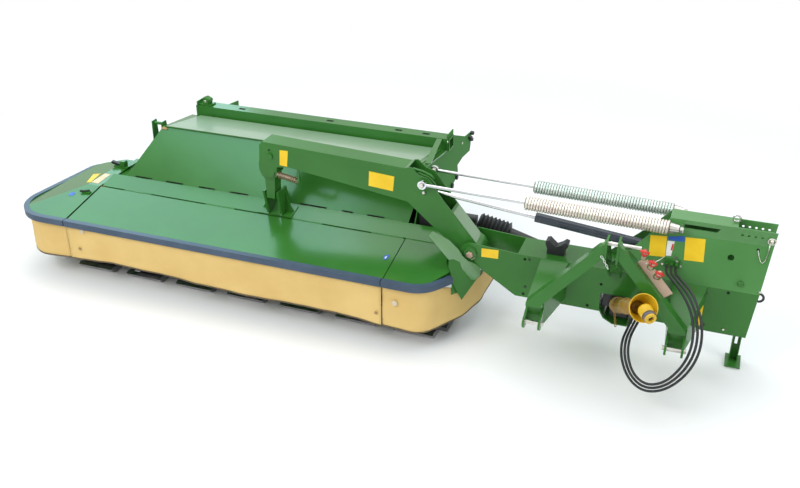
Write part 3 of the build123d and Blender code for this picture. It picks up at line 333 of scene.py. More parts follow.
def heads(name, places, normal, radius, height, material, body, sides=6):
    """Bolt heads or studs at several places, all facing the same way."""
    n = Vector(normal).normalized()
    u = n.orthogonal().normalized()
    v = n.cross(u)
    verts, faces = [], []
    for place in places:
        centre = at(*place)
        first = len(verts)
        for level, r in ((0.0, radius), (height * 0.75, radius), (height, radius * 0.8)):
            for k in range(sides):
                a = 2 * math.pi * k / sides
                verts.append(centre + n * (level + head_lift) + (u * math.cos(a) + v * math.sin(a)) * r)
        for level in range(2):
            for k in range(sides):
                a0 = first + level * sides + k
                a1 = first + level * sides + (k + 1) % sides
                faces.append((a0, a1, a1 + sides, a0 + sides))
        faces.append(tuple(first + 2 * sides + k for k in range(sides)))
        faces.append(tuple(first + k for k in range(sides - 1, -1, -1)))
    return piece(name, mesh_of(name, verts, faces), material, body)


def round_bar(name, points, radius, material, body, around=10):
    """A round bar through places, square cut at both ends."""
    path = [at(*p) for p in points]
    verts, faces = [], []
    side = None
    for i, p in enumerate(path):
        a = path[max(0, i - 1)]
        b = path[min(len(path) - 1, i + 1)]
        along = (b - a).normalized()
        if side is None:
            side = along.orthogonal().normalized()
        side = (side - along * side.dot(along)).normalized()
        up = along.cross(side)
        r = radius[i] if isinstance(radius, (list, tuple)) else radius
        for k in range(around):
            w = 2 * math.pi * k / around
            verts.append(p + (side * math.cos(w) + up * math.sin(w)) * r)
    for i in range(len(path) - 1):
        for k in range(around):
            a0 = i * around + k
            a1 = i * around + (k + 1) % around
            faces.append((a0, a1, a1 + around, a0 + around))
    faces.append(tuple(range(around - 1, -1, -1)))
    faces.append(tuple(range((len(path) - 1) * around, len(path) * around)))
    return piece(name, mesh_of(name, verts, faces), material, body, smooth=around > 8)


def turned_sleeve(name, start, end, radius, material, body, around=28):
    """A short round sleeve between two places."""
    return round_bar(name, [start, end], radius, material, body, around=around)


def ring(name, centre, axis, radius, wire, material, body, start=0.0, sweep=360.0, steps=36):
    """A round bar bent round an axis."""
    n = Vector(axis).normalized()
    u = n.orthogonal().normalized()
    v = n.cross(u)
    points = []
    for i in range(steps + 1):
        a = math.radians(start + sweep * i / steps)
        points.append(tuple(Vector(centre) + (u * math.cos(a) + v * math.sin(a)) * radius))
    return round_bar(name, points, wire, material, body)


def open_tube(name, start, end, outer, inner, material, body, around=28):
    """A straight tube that is open at both ends."""
    a, b = at(*start), at(*end)
    axis = (b - a).normalized()
    u = axis.orthogonal().normalized()
    v = axis.cross(u)
    verts = []
    for centre, r in ((a, outer), (b, outer), (b, inner), (a, inner)):
        for k in range(around):
            w = 2 * math.pi * k / around
            verts.append(centre + (u * math.cos(w) + v * math.sin(w)) * r)
    faces = []
    for level in range(4):
        for k in range(around):
            n = (k + 1) % around
            low, high = level * around, (level + 1) % 4 * around
            faces.append((low + k, low + n, high + n, high + k))
    return piece(name, mesh_of(name, verts, faces), material, body, smooth=False)


def along(a, b, share):
    """The place at a share of the way from a to b."""
    return tuple(Vector(a) + (Vector(b) - Vector(a)) * share)


def chain(name, points, length, wire, material, body):
    """Oval links that hang along places, each turned a quarter from the last."""
    path = [Vector(p) for p in points]
    runs = [(b - a).length for a, b in zip(path, path[1:])]
    total = sum(runs)
    count = max(2, round(total / (length * link_pitch)))
    verts, faces = [], []
    for number in range(count):
        goal = total * (number + 0.5) / count
        for a, b, run in zip(path, path[1:], runs):
            if goal <= run:
                centre = a + (b - a) * (goal / run)
                way = (b - a).normalized()
                break
            goal -= run
        u = way.orthogonal().normalized()
        v = way.cross(u)
        if number % 2:
            u, v = v, -u
        first = len(verts)
        steps, around = 14, 5
        for i in range(steps):
            w = 2 * math.pi * i / steps
            spot = centre + way * (math.cos(w) * (length / 2 - wire))
            spot += u * (math.sin(w) * length * link_width)
            out = (way * math.cos(w) + u * math.sin(w)).normalized()
            for k in range(around):
                q = 2 * math.pi * k / around
                verts.append(at(*(spot + (out * math.cos(q) + v * math.sin(q)) * wire)))
        for i in range(steps):
            for k in range(around):
                a0 = first + i * around + k
                a1 = first + i * around + (k + 1) % around
                b0 = first + (i + 1) % steps * around + k
                b1 = first + (i + 1) % steps * around + (k + 1) % around
                faces.append((a0, a1, b1, b0))
    return piece(name, mesh_of(name, verts, faces), material, body, smooth=True)


def box(name, centre, size, material, body, turn=(0, 0, 0)):
    """A block with slightly broken edges."""
    mesh = bpy.data.meshes.new(name)
    build = bmesh.new()
    bmesh.ops.create_cube(build, size=1.0)
    bmesh.ops.scale(build, vec=size, verts=build.verts)
    bmesh.ops.bevel(build, geom=build.edges, offset=min(size) * 0.12, segments=2, affect="EDGES")
    spin = Matrix.Identity(4)
    for angle, axis in zip(turn, "XYZ"):
        spin = Matrix.Rotation(math.radians(angle), 4, axis) @ spin
    bmesh.ops.transform(build, matrix=Matrix.Translation(at(*centre)) @ spin, verts=build.verts)
    build.to_mesh(mesh)
    build.free()
    return piece(name, mesh, material, body)


def sheet_plate(name, corners, thickness, material, body):
    """A flat plate with any number of corners, thickened away from its front."""
    points = [at(*c) for c in corners]
    normal = (points[1] - points[0]).cross(points[-1] - points[0]).normalized()
    count = len(points)
    verts = points + [q - normal * thickness for q in points]
    faces = [tuple(range(count)), tuple(range(2 * count - 1, count - 1, -1))]
    for i in range(count):
        j = (i + 1) % count
        faces.append((i, i + count, j + count, j))
    return piece(name, mesh_of(name, verts, faces), material, body)


# Camera, solved from the photograph
scene.view_settings.view_transform = "Standard"
camera_data = bpy.data.cameras.new("camera")
camera_data.lens = 41.48
camera_data.sensor_width = 36.0
camera_data.clip_end = 100.0
camera = bpy.data.objects.new("camera", camera_data)
scene.collection.objects.link(camera)
camera.location = at(0.4667, -4.8653, 3.6455)
camera.rotation_euler = (math.radians(61.53), 0.0, math.radians(20.19))
scene.camera = camera

# World: plain white where it is seen or mirrored, a gentle sky as light
world = bpy.data.worlds.new("studio")
scene.world = world
world.use_nodes = True
world_tree = world.node_tree
world_tree.nodes.clear()
world_out = world_tree.nodes.new("ShaderNodeOutputWorld")
world_mix = world_tree.nodes.new("ShaderNodeMixShader")
sky = world_tree.nodes.new("ShaderNodeBackground")
white = world_tree.nodes.new("ShaderNodeBackground")
sky_place = world_tree.nodes.new("ShaderNodeTexCoord")
sky_split = world_tree.nodes.new("ShaderNodeSeparateXYZ")
sky_ramp = world_tree.nodes.new("ShaderNodeValToRGB")
sky_ramp.color_ramp.elements[0].position = 0.0
sky_ramp.color_ramp.elements[0].color = (0.95, 0.95, 0.92, 1)
sky_ramp.color_ramp.elements[1].position = 1.0
sky_ramp.color_ramp.elements[1].color = (0.70, 0.78, 0.84, 1)
world_tree.links.new(sky_place.outputs["Generated"], sky_split.inputs[0])
world_tree.links.new(sky_split.outputs["Z"], sky_ramp.inputs[0])
world_tree.links.new(sky_ramp.outputs[0], sky.inputs["Color"])
sky.inputs["Strength"].default_value = 0.85
white.inputs["Color"].default_value = (1, 1, 1, 1)
white.inputs["Strength"].default_value = 1.0
world_tree.links.new(shown_rays(world_tree), world_mix.inputs[0])
world_tree.links.new(sky.outputs[0], world_mix.inputs[1])
world_tree.links.new(white.outputs[0], world_mix.inputs[2])
world_tree.links.new(world_mix.outputs[0], world_out.inputs["Surface"])

# Lamps
key_lamp = lamp("key", (-3.5, -6.5, 6.5), (0, 0, 0.4), (6, 4), 420, (1.0, 0.985, 0.95))
key_lamp.visible_glossy = False
lamp("top", (0.5, 1.5, 7.0), (0, 0, 0), (9, 5), 250, (0.95, 0.98, 1.0))
lamp("side", (7.5, -3.0, 3.5), (1.0, 0, 0.5), (3, 3), 110)

# Two soft panels that only show as sheen: one behind for the flat tops, one in front for the hood
for name, place, target, size, power in (
    ("sky_back", (-6.0, 3.9, 5.6), (-1.5, -0.6, 0.6), (5.5, 6), 335),
    ("sky_front", (-4.6, -4.8, 7.4), (-1.2, -0.2, 0.8), (4.5, 4.4), 345),
):
    panel = lamp(name, place, target, size, power, (0.50, 0.92, 1.0))
    panel.visible_diffuse = False

bpy.ops.mesh.primitive_plane_add(size=60, location=(0, 0, -0.002))
floor = bpy.context.object
floor.name = "floor"

# Finishes: every one wanders between two tones
green = finish_of(
    "green_paint", (0.030, 0.150, 0.020), (0.038, 0.176, 0.026), 2.2, (0.14, 0.26), coat=0.06, shine=0.30
)
# Tower green, painted lighter than the other green paint: painted light from the sky on the tower's leaning
# face
green_tower_lit = finish_of(
    "green_paint_tower_lit", (0.078, 0.245, 0.066), (0.094, 0.280, 0.080), 2.2, (0.20, 0.30), coat=0.1
)
# Paler green under a full coat: painted sheen of the sky, for the boom leg's top and the inner shield's
# flange
green_painted_sheen = finish_of(
    "green_painted_sky_sheen", (0.090, 0.230, 0.080), (0.110, 0.265, 0.100), 2.2, (0.10, 0.18), coat=1.0
)
green_matt = finish_of(
    "green_paint_matt", (0.034, 0.165, 0.024), (0.042, 0.190, 0.030), 2.2, (0.55, 0.70), shine=0.2
)
# Pale green for the roof: painted reflection of the sky, paler than the roof's own paint
roof_painted_reflection = finish_of(
    "green_paint_roof_sky_reflection", (0.210, 0.330, 0.200), (0.250, 0.370, 0.235), 1.6, (0.30, 0.42), coat=0.3
)
black = finish_of("black_paint", (0.012, 0.012, 0.013), (0.022, 0.022, 0.024), 8.0, (0.35, 0.5))
iron = finish_of("casting", (0.02, 0.021, 0.022), (0.045, 0.045, 0.046), 14.0, (0.5, 0.65), bump=0.2)
steel = finish_of("plain_steel", (0.33, 0.33, 0.34), (0.46, 0.46, 0.47), 12.0, (0.28, 0.42), metal=1.0)
chrome = finish_of("chrome", (0.72, 0.73, 0.75), (0.80, 0.81, 0.82), 6.0, (0.05, 0.10), metal=1.0)
zinc = finish_of("zinc", (0.62, 0.60, 0.54), (0.78, 0.76, 0.70), 18.0, (0.22, 0.36), metal=1.0)
pink_zinc = finish_of("pink_zinc", (0.84, 0.72, 0.66), (0.88, 0.84, 0.74), 9.0, (0.25, 0.38), metal=0.6)
pale_zinc = finish_of("pale_zinc", (0.60, 0.67, 0.62), (0.71, 0.75, 0.69), 9.0, (0.25, 0.38), metal=0.6)
slate = finish_of("slate_barrel", (0.030, 0.040, 0.055), (0.045, 0.058, 0.075), 6.0, (0.22, 0.34))
liner_grey = finish_of("spring_liner", (0.27, 0.26, 0.20), (0.36, 0.34, 0.26), 14.0, (0.45, 0.6), metal=0.2)
copper = finish_of("copper_spring", (0.42, 0.22, 0.13), (0.60, 0.38, 0.26), 20.0, (0.28, 0.42), metal=0.8)
mustard = finish_of("mustard_tube", (0.26, 0.145, 0.012), (0.34, 0.20, 0.02), 9.0, (0.38, 0.5))
collar_grey = finish_of(
    "collar_grey", (0.13, 0.115, 0.14), (0.20, 0.18, 0.20), 14.0, (0.3, 0.45), metal=0.5
)
cream = finish_of("cream_coupler", (0.55, 0.47, 0.36), (0.66, 0.57, 0.45), 14.0, (0.35, 0.5))
comb_beige = finish_of("comb_beige", (0.52, 0.36, 0.27), (0.60, 0.44, 0.34), 9.0, (0.4, 0.55))
pivot_pink = finish_of("pivot_pink", (0.50, 0.30, 0.24), (0.62, 0.42, 0.34), 20.0, (0.3, 0.45), metal=0.5)
brown = finish_of("brown_bolt", (0.28, 0.17, 0.06), (0.38, 0.24, 0.09), 20.0, (0.5, 0.65))
# Near black for holes, slots, seam channels and open ends: painted shade where their insides are dark
shade_dark = finish_of("painted_shade_holes", (0.006, 0.010, 0.006), (0.010, 0.016, 0.010), 9.0, (0.7, 0.85), shine=0.1)
rubber = finish_of("black_rubber", (0.010, 0.010, 0.011), (0.020, 0.020, 0.021), 20.0, (0.42, 0.6))
strip_paint = finish_of(
    "edge_strip", (0.040, 0.066, 0.105), (0.055, 0.086, 0.135), 5.0, (0.38, 0.5), shine=0.35
)
yellow = finish_of("yellow_plastic", (0.66, 0.40, 0.010), (0.78, 0.50, 0.020), 6.0, (0.35, 0.5))
cloth = finish_of(
    "skirt_cloth",
    (0.630, 0.432, 0.156),
    (0.700, 0.502, 0.196),
    3.0,
    (0.62, 0.8),
    bump=0.25,
    bump_scale=220.0,
    shine=0.25,
)
# A dark band along the bottom edge of each skirt
dark_hem = finish_of("dark_hem", (0.10, 0.075, 0.045), (0.16, 0.12, 0.07), 30.0, (0.7, 0.85))
red = finish_of("red_cap", (0.55, 0.02, 0.012), (0.68, 0.03, 0.018), 9.0, (0.35, 0.5))
ground = finish_of("floor_white", (0.90, 0.90, 0.90), (0.92, 0.92, 0.92), 0.6, (0.85, 0.95))
plate_yellow = finish_of("plate_yellow", (0.86, 0.55, 0.01), (0.92, 0.62, 0.02), 12.0, (0.4, 0.5))
plate_white = finish_of("plate_white", (0.80, 0.80, 0.78), (0.88, 0.88, 0.86), 12.0, (0.4, 0.5))
plate_cream = finish_of("plate_cream", (0.66, 0.50, 0.28), (0.74, 0.60, 0.38), 12.0, (0.4, 0.5))
plate_blue = finish_of("plate_blue", (0.02, 0.10, 0.45), (0.03, 0.14, 0.55), 12.0, (0.4, 0.5))

# The floor keeps its shadow near the machine and fades to white away from it
floor.data.materials.append(ground)
ground_tree = ground.node_tree
floor_place = ground_tree.nodes.new("ShaderNodeTexCoord")
floor_reach = ground_tree.nodes.new("ShaderNodeVectorMath")
floor_reach.operation = "LENGTH"
floor_fade = ground_tree.nodes.new("ShaderNodeMapRange")
floor_fade.inputs["From Min"].default_value = fade_start
floor_fade.inputs["From Max"].default_value = fade_end
floor_rays = ground_tree.nodes.new("ShaderNodeLightPath")
floor_glow = ground_tree.nodes.new("ShaderNodeEmission")
floor_mix = ground_tree.nodes.new("ShaderNodeMixShader")
ground_tree.links.new(floor_place.outputs["Object"], floor_reach.inputs[0])
ground_tree.links.new(floor_reach.outputs["Value"], floor_fade.inputs["Value"])
ground_tree.links.new(floor_rays.outputs["Is Camera Ray"], floor_glow.inputs["Strength"])
ground_tree.links.new(floor_fade.outputs[0], floor_mix.inputs[0])
ground_tree.links.new(ground_tree.nodes["Principled BSDF"].outputs[0], floor_mix.inputs[1])
ground_tree.links.new(floor_glow.outputs[0], floor_mix.inputs[2])
ground_tree.links.new(floor_mix.outputs[0], ground_tree.nodes["Material Output"].inputs["Surface"])

by_node = {
    rubber: ["hose_1", "hose_2", "hose_3", "rest_block", "bellows"],
    cloth: ["front_skirt", "left_skirt", "right_skirt"],
    strip_paint: ["front_strip", "left_strip", "right_strip"],
    yellow: ["drive_guard", "drive_yoke"],
    slate: ["cylinder_barrel"],
    green_tower_lit: ["tower"],
    green_matt: ["side_frames"],
    cream: ["couplers"],
    comb_beige: ["hose_holder"],
    copper: ["hook_spring"],
    chrome: ["cylinder_rod", "front_spring_rod", "rear_spring_rod"],
    zinc: [
        "hitch_pins",
        "pivot_pins",
        "front_spring_seat",
        "rear_spring_seat",
        "inner_shaft",
    ],
    pink_zinc: ["front_spring"],
    pale_zinc: ["rear_spring"],
    black: ["drive_shaft", "gearbox", "drive_head", "inner_rail"],
    iron: ["cutterbar"],
    steel: ["skids", "lower_roller", "upper_roller"] + [f"disc_{number}" for number in range(1, 8)],
}
material_of = {name: m for m, names in by_node.items() for name in names}
for name, node in nodes.items():
    node.data.materials.clear()
    node.data.materials.append(material_of.get(name, green))

# Relief springs: each coil stands in for its sleeve and rides on the spring's body
spring_line = (spring_eye - spring_seat).normalized()
for side_name, material in (("front", pink_zinc), ("rear", pale_zinc)):
    seat = at(spring_seat.x, springs_y[side_name], spring_seat.z)
    coil = helix(
        f"{side_name}_coil",
        seat + spring_line * coil_start,
        seat + spring_line * coil_end,
        coil_radius,
        coil_wire,
        coil_turns,
        material,
        f"{side_name}_spring",
    )
    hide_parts(f"{side_name}_spring")
    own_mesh(coil)

# Hoses, along the same points as the solids, from the bulkhead to the parked couplers
hose_routes = [
    [
        (0.306, 0.365, 0.800),
        (0.306, 0.290, 0.800),
        (0.344, 0.205, 0.810),
        (0.412, 0.118, 0.790),
        (0.492, 0.032, 0.715),
        (0.529, -0.050, 0.627),
        (0.530, -0.112, 0.520),
        (0.491, -0.142, 0.408),
        (0.417, -0.150, 0.295),
        (0.317, -0.128, 0.231),
        (0.228, -0.084, 0.256),
        (0.173, -0.016, 0.335),
        (0.162, 0.082, 0.399),
        (0.183, 0.190, 0.433),
        (0.222, 0.292, 0.497),
        (0.240, 0.314, 0.620),
        (0.243, 0.236, 0.720),
        (0.243, 0.144, 0.800),
        (0.268, 0.066, 0.876),
    ],
    [
        (0.334, 0.365, 0.800),
        (0.334, 0.290, 0.800),
        (0.372, 0.205, 0.812),
        (0.440, 0.118, 0.796),
        (0.508, 0.032, 0.735),
        (0.552, -0.050, 0.640),
        (0.556, -0.112, 0.520),
        (0.512, -0.142, 0.392),
        (0.425, -0.150, 0.270),
        (0.315, -0.128, 0.205),
        (0.218, -0.084, 0.232),
        (0.156, -0.016, 0.316),
        (0.140, 0.082, 0.384),
        (0.160, 0.190, 0.420),
        (0.196, 0.292, 0.492),
        (0.214, 0.314, 0.620),
        (0.212, 0.236, 0.738),
        (0.206, 0.144, 0.836),
        (0.226, 0.066, 0.930),
    ],
    [
        (0.362, 0.365, 0.800),
        (0.362, 0.290, 0.800),
        (0.400, 0.205, 0.814),
        (0.468, 0.118, 0.802),
        (0.524, 0.032, 0.755),
        (0.575, -0.050, 0.653),
        (0.582, -0.112, 0.520),
        (0.533, -0.142, 0.376),
        (0.433, -0.150, 0.245),
        (0.313, -0.128, 0.179),
        (0.208, -0.084, 0.208),
        (0.139, -0.016, 0.297),
        (0.118, 0.082, 0.369),
        (0.137, 0.190, 0.407),
        (0.170, 0.292, 0.487),
        (0.188, 0.314, 0.620),
        (0.179, 0.236, 0.756),
        (0.165, 0.144, 0.872),
        (0.178, 0.066, 0.984),
    ],
]
for number, route in enumerate(hose_routes, 1):
    curve = bpy.data.curves.new(f"hose_line_{number}", "CURVE")
    curve.dimensions = "3D"
    spline = curve.splines.new("NURBS")
    points = [at(*p) for p in route]
    spline.points.add(len(points) - 1)
    for target, point in zip(spline.points, points):
        target.co = (*point, 1.0)
    spline.order_u = 3
    spline.use_endpoint_u = True
    spline.resolution_u = 12
    curve.bevel_depth = hose_radius
    curve.bevel_resolution = 4
    curve.use_fill_caps = True
    curve.materials.append(rubber)
    line = bpy.data.objects.new(f"hose_line_{number}", curve)
    scene.collection.objects.link(line)
    bpy.context.view_layer.update()
    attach(line, "headstock")
    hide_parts(f"hose_{number}")

# Skirts
skirt(
    "front_cloth",
    rounded([(-3.994, 0.024), (-1.466, 0.024)], [], 0.03),
    top_of_skirt,
    [0.205, 0.228, 0.215, 0.195, 0.188, 0.192, 0.188, 0.165],
    "front_cover",
    "front_skirt",
)
skirt(
    "left_cloth",
    rounded([(-4.150, 1.014), (-4.382, 0.972), (-4.502, 0.036), (-4.000, 0.030)], [0.116, 0.254], 0.025),
    top_of_skirt,
    [0.19, 0.165, 0.16, 0.165, 0.175, 0.19, 0.205],
    "left_guard",
    "left_skirt",
    seed=1.3,
)
skirt(
    "right_cloth",
    rounded(
        [
            (-1.460, 0.030),
            (-1.176, 0.036),
            (-1.058, 0.216),
            (-0.985, 0.330),
            (-0.925, 0.560),
            (-0.912, 0.880),
        ],
        [0.176, 0.9, 0.40, 0.40],
        0.02,
    ),
    top_of_skirt,
    [0.165, 0.150, 0.148, 0.155, 0.165, 0.175, 0.185],
    "mower",
    "right_skirt",
    seed=2.1,
    tops=[top_of_skirt, top_of_skirt, 0.480, 0.400, 0.372, 0.372, 0.372],
)

# Blank plates where stickers were
plates = [
    (
        "boom_plate_left",
        "boom",
        plate_yellow,
        plate_lift,
        on_face(boom_face, (-2.378, 1.050), (-2.320, 1.046), (-2.307, 1.167), (-2.370, 1.165)),
    ),
    (
        "boom_plate_right",
        "boom",
        plate_yellow,
        plate_lift,
        on_face(boom_face, (-1.707, 0.999), (-1.529, 0.986), (-1.519, 1.096), (-1.701, 1.108)),
    ),
    (
        "pivot_plate",
        "headstock",
        plate_yellow,
        plate_lift,
        on_face(beam_face, (-0.886, 0.619), (-0.770, 0.624), (-0.769, 0.690), (-0.886, 0.683)),
    ),
    (
        "tower_plate_left",
        "headstock",
        plate_yellow,
        plate_lift,
        on_tower((0.187, 0.823), (0.287, 0.829), (0.279, 0.963), (0.180, 0.955)),
    ),
    (
        "tower_plate_white",
        "headstock",
        plate_white,
        plate_lift,
        on_tower((0.289, 0.839), (0.321, 0.842), (0.330, 0.938), (0.286, 0.936)),
    ),
    (
        "tower_plate_red",
        "headstock",
        red,
        2 * plate_lift,
        on_tower((0.313, 0.878), (0.323, 0.878), (0.327, 0.920), (0.317, 0.920)),
    ),
    (
        "tower_plate_blue",
        "headstock",
        plate_blue,
        plate_lift,
        on_tower((0.292, 0.941), (0.386, 0.944), (0.384, 0.981), (0.288, 0.963)),
    ),
    (
        "tower_plate_right",
        "headstock",
        plate_yellow,
        plate_lift,
        on_tower((0.400, 0.830), (0.517, 0.836), (0.507, 0.982), (0.389, 0.975)),
    ),
    (
        "arm_plate",
        "headstock",
        plate_yellow,
        plate_lift,
        [(0.5436, 0.290, 0.425), (0.5620, 0.372, 0.425), (0.5620, 0.372, 0.565), (0.5436, 0.290, 0.565)],
    ),
    (
        "guard_plate_yellow",
        "left_guard",
        plate_yellow,
        plate_lift,
        [
            (-4.163, 0.524, 0.5899),
            (-4.119, 0.5225, 0.5998),
            (-4.165, 0.708, 0.5894),
            (-4.238, 0.710, 0.5729),
        ],
    ),
    (
        "guard_plate_cream",
        "left_guard",
        plate_cream,
        plate_lift,
        [
            (-4.1175, 0.5225, 0.600),
            (-4.050, 0.520, 0.600),
            (-4.062, 0.7016, 0.600),
            (-4.1175, 0.705, 0.600),
        ],
    ),
    (
        "guard_plate_blue",
        "left_guard",
        plate_blue,
        plate_lift,
        between(-4.182, -4.142, (0.315, 0.5688), (0.360, 0.5771)),
    ),
    (
        "cover_plate_blue",
        "front_cover",
        plate_blue,
        plate_lift,
        [
            (-1.5306, 0.2303, 0.5541),
            (-1.5014, 0.2494, 0.5576),
            (-1.5082, 0.2965, 0.5662),
            (-1.5394, 0.2723, 0.5618),
        ],
    ),
    (
        "cover_plate_white",
        "front_cover",
        plate_white,
        2 * plate_lift,
        [
            (-1.5270, 0.2480, 0.5573),
            (-1.5170, 0.2530, 0.5583),
            (-1.5140, 0.2760, 0.5625),
            (-1.5240, 0.2700, 0.5614),
        ],
    ),
]
for name, body, material, lift, corners in plates:
    label(name, corners, material, body, lift)

# Slots drawn as flat plates in painted shade, the dark of their openings: along the hood's foot, on the
# rear bar
slot_foot = (0.6560, 0.6416)
slot_head = (0.6620, 0.6505)
slots = [
    (-3.788, -3.636),
    (-3.510, -3.358),
    (-3.216, -3.076),
    (-2.945, -2.790),
    (-2.357, -2.140),
    (-2.016, -1.929),
    (-1.818, -1.685),
]
for number, (x0, x1) in enumerate(slots, 1):
    label(f"hood_slot_{number}", between(x0, x1, slot_foot, slot_head), shade_dark, "mower")
bar_slot_half = 0.028
bar_slot_front = (1.447, 1.000)
bar_slot_back = (1.471, 1.000)
for number, x in enumerate((-3.2446, -2.453, -1.8703, -1.6435), 1):
    slot = between(x - bar_slot_half, x + bar_slot_half, bar_slot_front, bar_slot_back)
    label(f"bar_slot_{number}", slot, shade_dark, "mower")

# Bolts, studs and holes, from the boom to the tower
heads("boom_washer", on_face(boom_face, (-1.308, 1.014)), to_front, 0.020, 0.004, green, "boom", sides=20)
heads("boom_bolt", [(-1.308, 0.421, 1.014)], to_front, 0.012, 0.010, zinc, "boom")
heads("boom_pin_end", on_face(boom_face, (-2.449, 1.110)), to_front, 0.009, 0.006, zinc, "boom", sides=16)
heads("skirt_studs_pale", [(-3.847, 0.012, 0.462)], to_front, 0.018, 0.002, cream, "front_cover", sides=16)
heads(
    "skirt_studs_brown",
    [(-3.893, 0.010, 0.308), (-1.499, 0.010, 0.268)],
    to_front,
    0.012,
    0.004,
    brown,
    "front_cover",
    sides=12,
)
heads("skirt_stud_right", [(-1.367, 0.014, 0.369)], to_front, 0.019, 0.002, cream, "mower", sides=16)
# The beam's holes and the tower's pin hole are flat discs in painted shade, the dark inside of each hole
heads(
    "beam_holes",
    on_face(beam_face, (0.692, 0.667), (-0.589, 0.656), (-0.584, 0.391), (-0.152, 0.393), (-0.079, 0.569)),
    to_front,
    0.010,
    0.0005,
    shade_dark,
    "headstock",
    sides=14,
)
heads("beam_bolt", on_face(beam_face, (0.705, 0.401)), to_front, 0.008, 0.007, zinc, "headstock")
heads(
    "tower_pin_hole",
    on_tower((0.813, 0.966)),
    (0, -1, 0.18),
    0.009,
    0.0005,
    shade_dark,
    "headstock",
    sides=14,
)
heads(
    "gland_bolts",
    [(0.277, 0.412, 0.784), (0.387, 0.4127, 0.786), (0.363, 0.398, 0.822)],
    to_front,
    0.009,
    0.006,
    zinc,
    "headstock",
)
heads("tower_boss", on_tower((0.751, 0.741)), to_front, 0.019, 0.016, green, "headstock", sides=20)
heads(
    "tower_bolts",
    on_face(beam_face, (0.566, 0.640), (0.585, 0.408), (-0.560, 0.660), (-0.575, 0.450)),
    to_front,
    0.008,
    0.006,
    iron,
    "headstock",
)
ring("lifting_eye", (0.664, 0.520, 1.118), (0, 1, 0), 0.021, 0.006, zinc, "headstock")
ring(
    "lashing_ring",
    (0.871, 0.405, 0.664),
    (0, 1, 0),
    0.0270,
    0.0075,
    iron,
    "headstock",
    start=200,
    sweep=300,
)
round_bar("lashing_pin", [(0.862, 0.398, 0.704), (0.884, 0.398, 0.708)], 0.008, zinc, "headstock")
round_bar(
    "lock_pin", [(0.880, 0.425, 1.040), (0.880, 0.475, 1.040)], 0.011, pink_zinc, "headstock", around=14
)
ring("lock_pin_ring", (0.880, 0.432, 1.040), (0, 1, 0.2), 0.022, 0.003, pink_zinc, "headstock")
round_bar(
    "lock_pin_lanyard",
    [
        (0.872, 0.440, 1.028),
        (0.872, 0.437, 0.960),
        (0.863, 0.428, 0.908),
        (0.850, 0.424, 0.893),
        (0.836, 0.425, 0.902),
        (0.824, 0.432, 0.930),
        (0.813, 0.442, 0.966),
    ],
    0.0026,
    zinc,
    "headstock",
)

# Sleeves inside the relief springs
for side_name, y in springs_y.items():
    seat = Vector((spring_seat.x, y, spring_seat.z))
    sleeve = open_tube(
        f"{side_name}_liner",
        seat + spring_line * (coil_start + 0.002),
        seat + spring_line * (coil_end - 0.002),
        liner_outer,
        liner_inner,
        liner_grey,
        f"{side_name}_spring",
    )
    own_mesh(sleeve)

# Drive guard's tube and joint
turned_sleeve(
    "guard_tube",
    along(guard_start, guard_end, 0.02),
    along(guard_start, guard_end, 0.76),
    guard_radius,
    mustard,
    "headstock",
)
for number, share in enumerate((0.05, 0.10, 0.40, 0.72), 1):
    turned_sleeve(
        f"guard_ring_{number}",
        along(guard_start, guard_end, share),
        along(guard_start, guard_end, share + guard_ring_share),
        guard_ring_radius,
        brown,
        "headstock",
    )
chain(
    "guard_chain",
    [(-0.0005, 0.33, 0.504), (0.015, 0.33, 0.477), (0.036, 0.33, 0.401), (0.051, 0.33, 0.312)],
    0.026,
    0.0028,
    mustard,
    "headstock",
)
turned_sleeve(
    "yoke_collar",
    along(guard_end, yoke_tip, 0.62),
    along(guard_end, yoke_tip, 0.86),
    0.0385,
    collar_grey,
    "yoke",
)

# Small chain by the mast, cord at the couplers
chain(
    "mast_chain",
    [
        (-0.058, -0.010, 0.995),
        (-0.045, -0.012, 0.984),
        (-0.031, -0.013, 0.959),
        (-0.016, -0.013, 0.935),
        (-0.008, -0.012, 0.916),
    ],
    0.022,
    0.0024,
    pale_zinc,
    "headstock",
)
round_bar(
    "coupler_cord",
    [(0.200, 0.040, 0.970), (0.235, 0.170, 0.915), (0.259, 0.300, 0.864), (0.282, 0.416, 0.833)],
    0.003,
    plate_white,
    "headstock",
)

# Hoses inside the boom's elbow
for number, points in enumerate(
    (
        [
            (-1.438, 0.447, 1.120),
            (-1.390, 0.447, 1.166),
            (-1.325, 0.447, 1.155),
            (-1.269, 0.447, 1.134),
            (-1.246, 0.447, 1.112),
        ],
        [
            (-1.421, 0.46, 1.090),
            (-1.355, 0.46, 1.130),
            (-1.290, 0.46, 1.111),
            (-1.247, 0.46, 1.074),
            (-1.232, 0.46, 1.032),
            (-1.220, 0.46, 0.980),
        ],
    ),
    1,
):
    round_bar(f"elbow_hose_{number}", points, hose_radius, green, "boom")

# Couplers' wing caps
for number, route in enumerate(hose_routes, 1):
    a, b = Vector(route[-2]), Vector(route[-1])
    way = (b - a).normalized()
    foot = b + way * coupler_length
    turned_sleeve(
        f"cap_{number}", tuple(foot), tuple(foot + way * cap_length), cap_radius, red, "headstock"
    )
    across = way.cross(Vector((0, 1, 0))).normalized()
    middle = foot + way * 0.020
    turned_sleeve(
        f"cap_wing_{number}",
        tuple(middle - across * 0.026),
        tuple(middle + across * 0.026 + way * 0.012),
        0.0085,
        red,
        "headstock",
        around=12,
    )

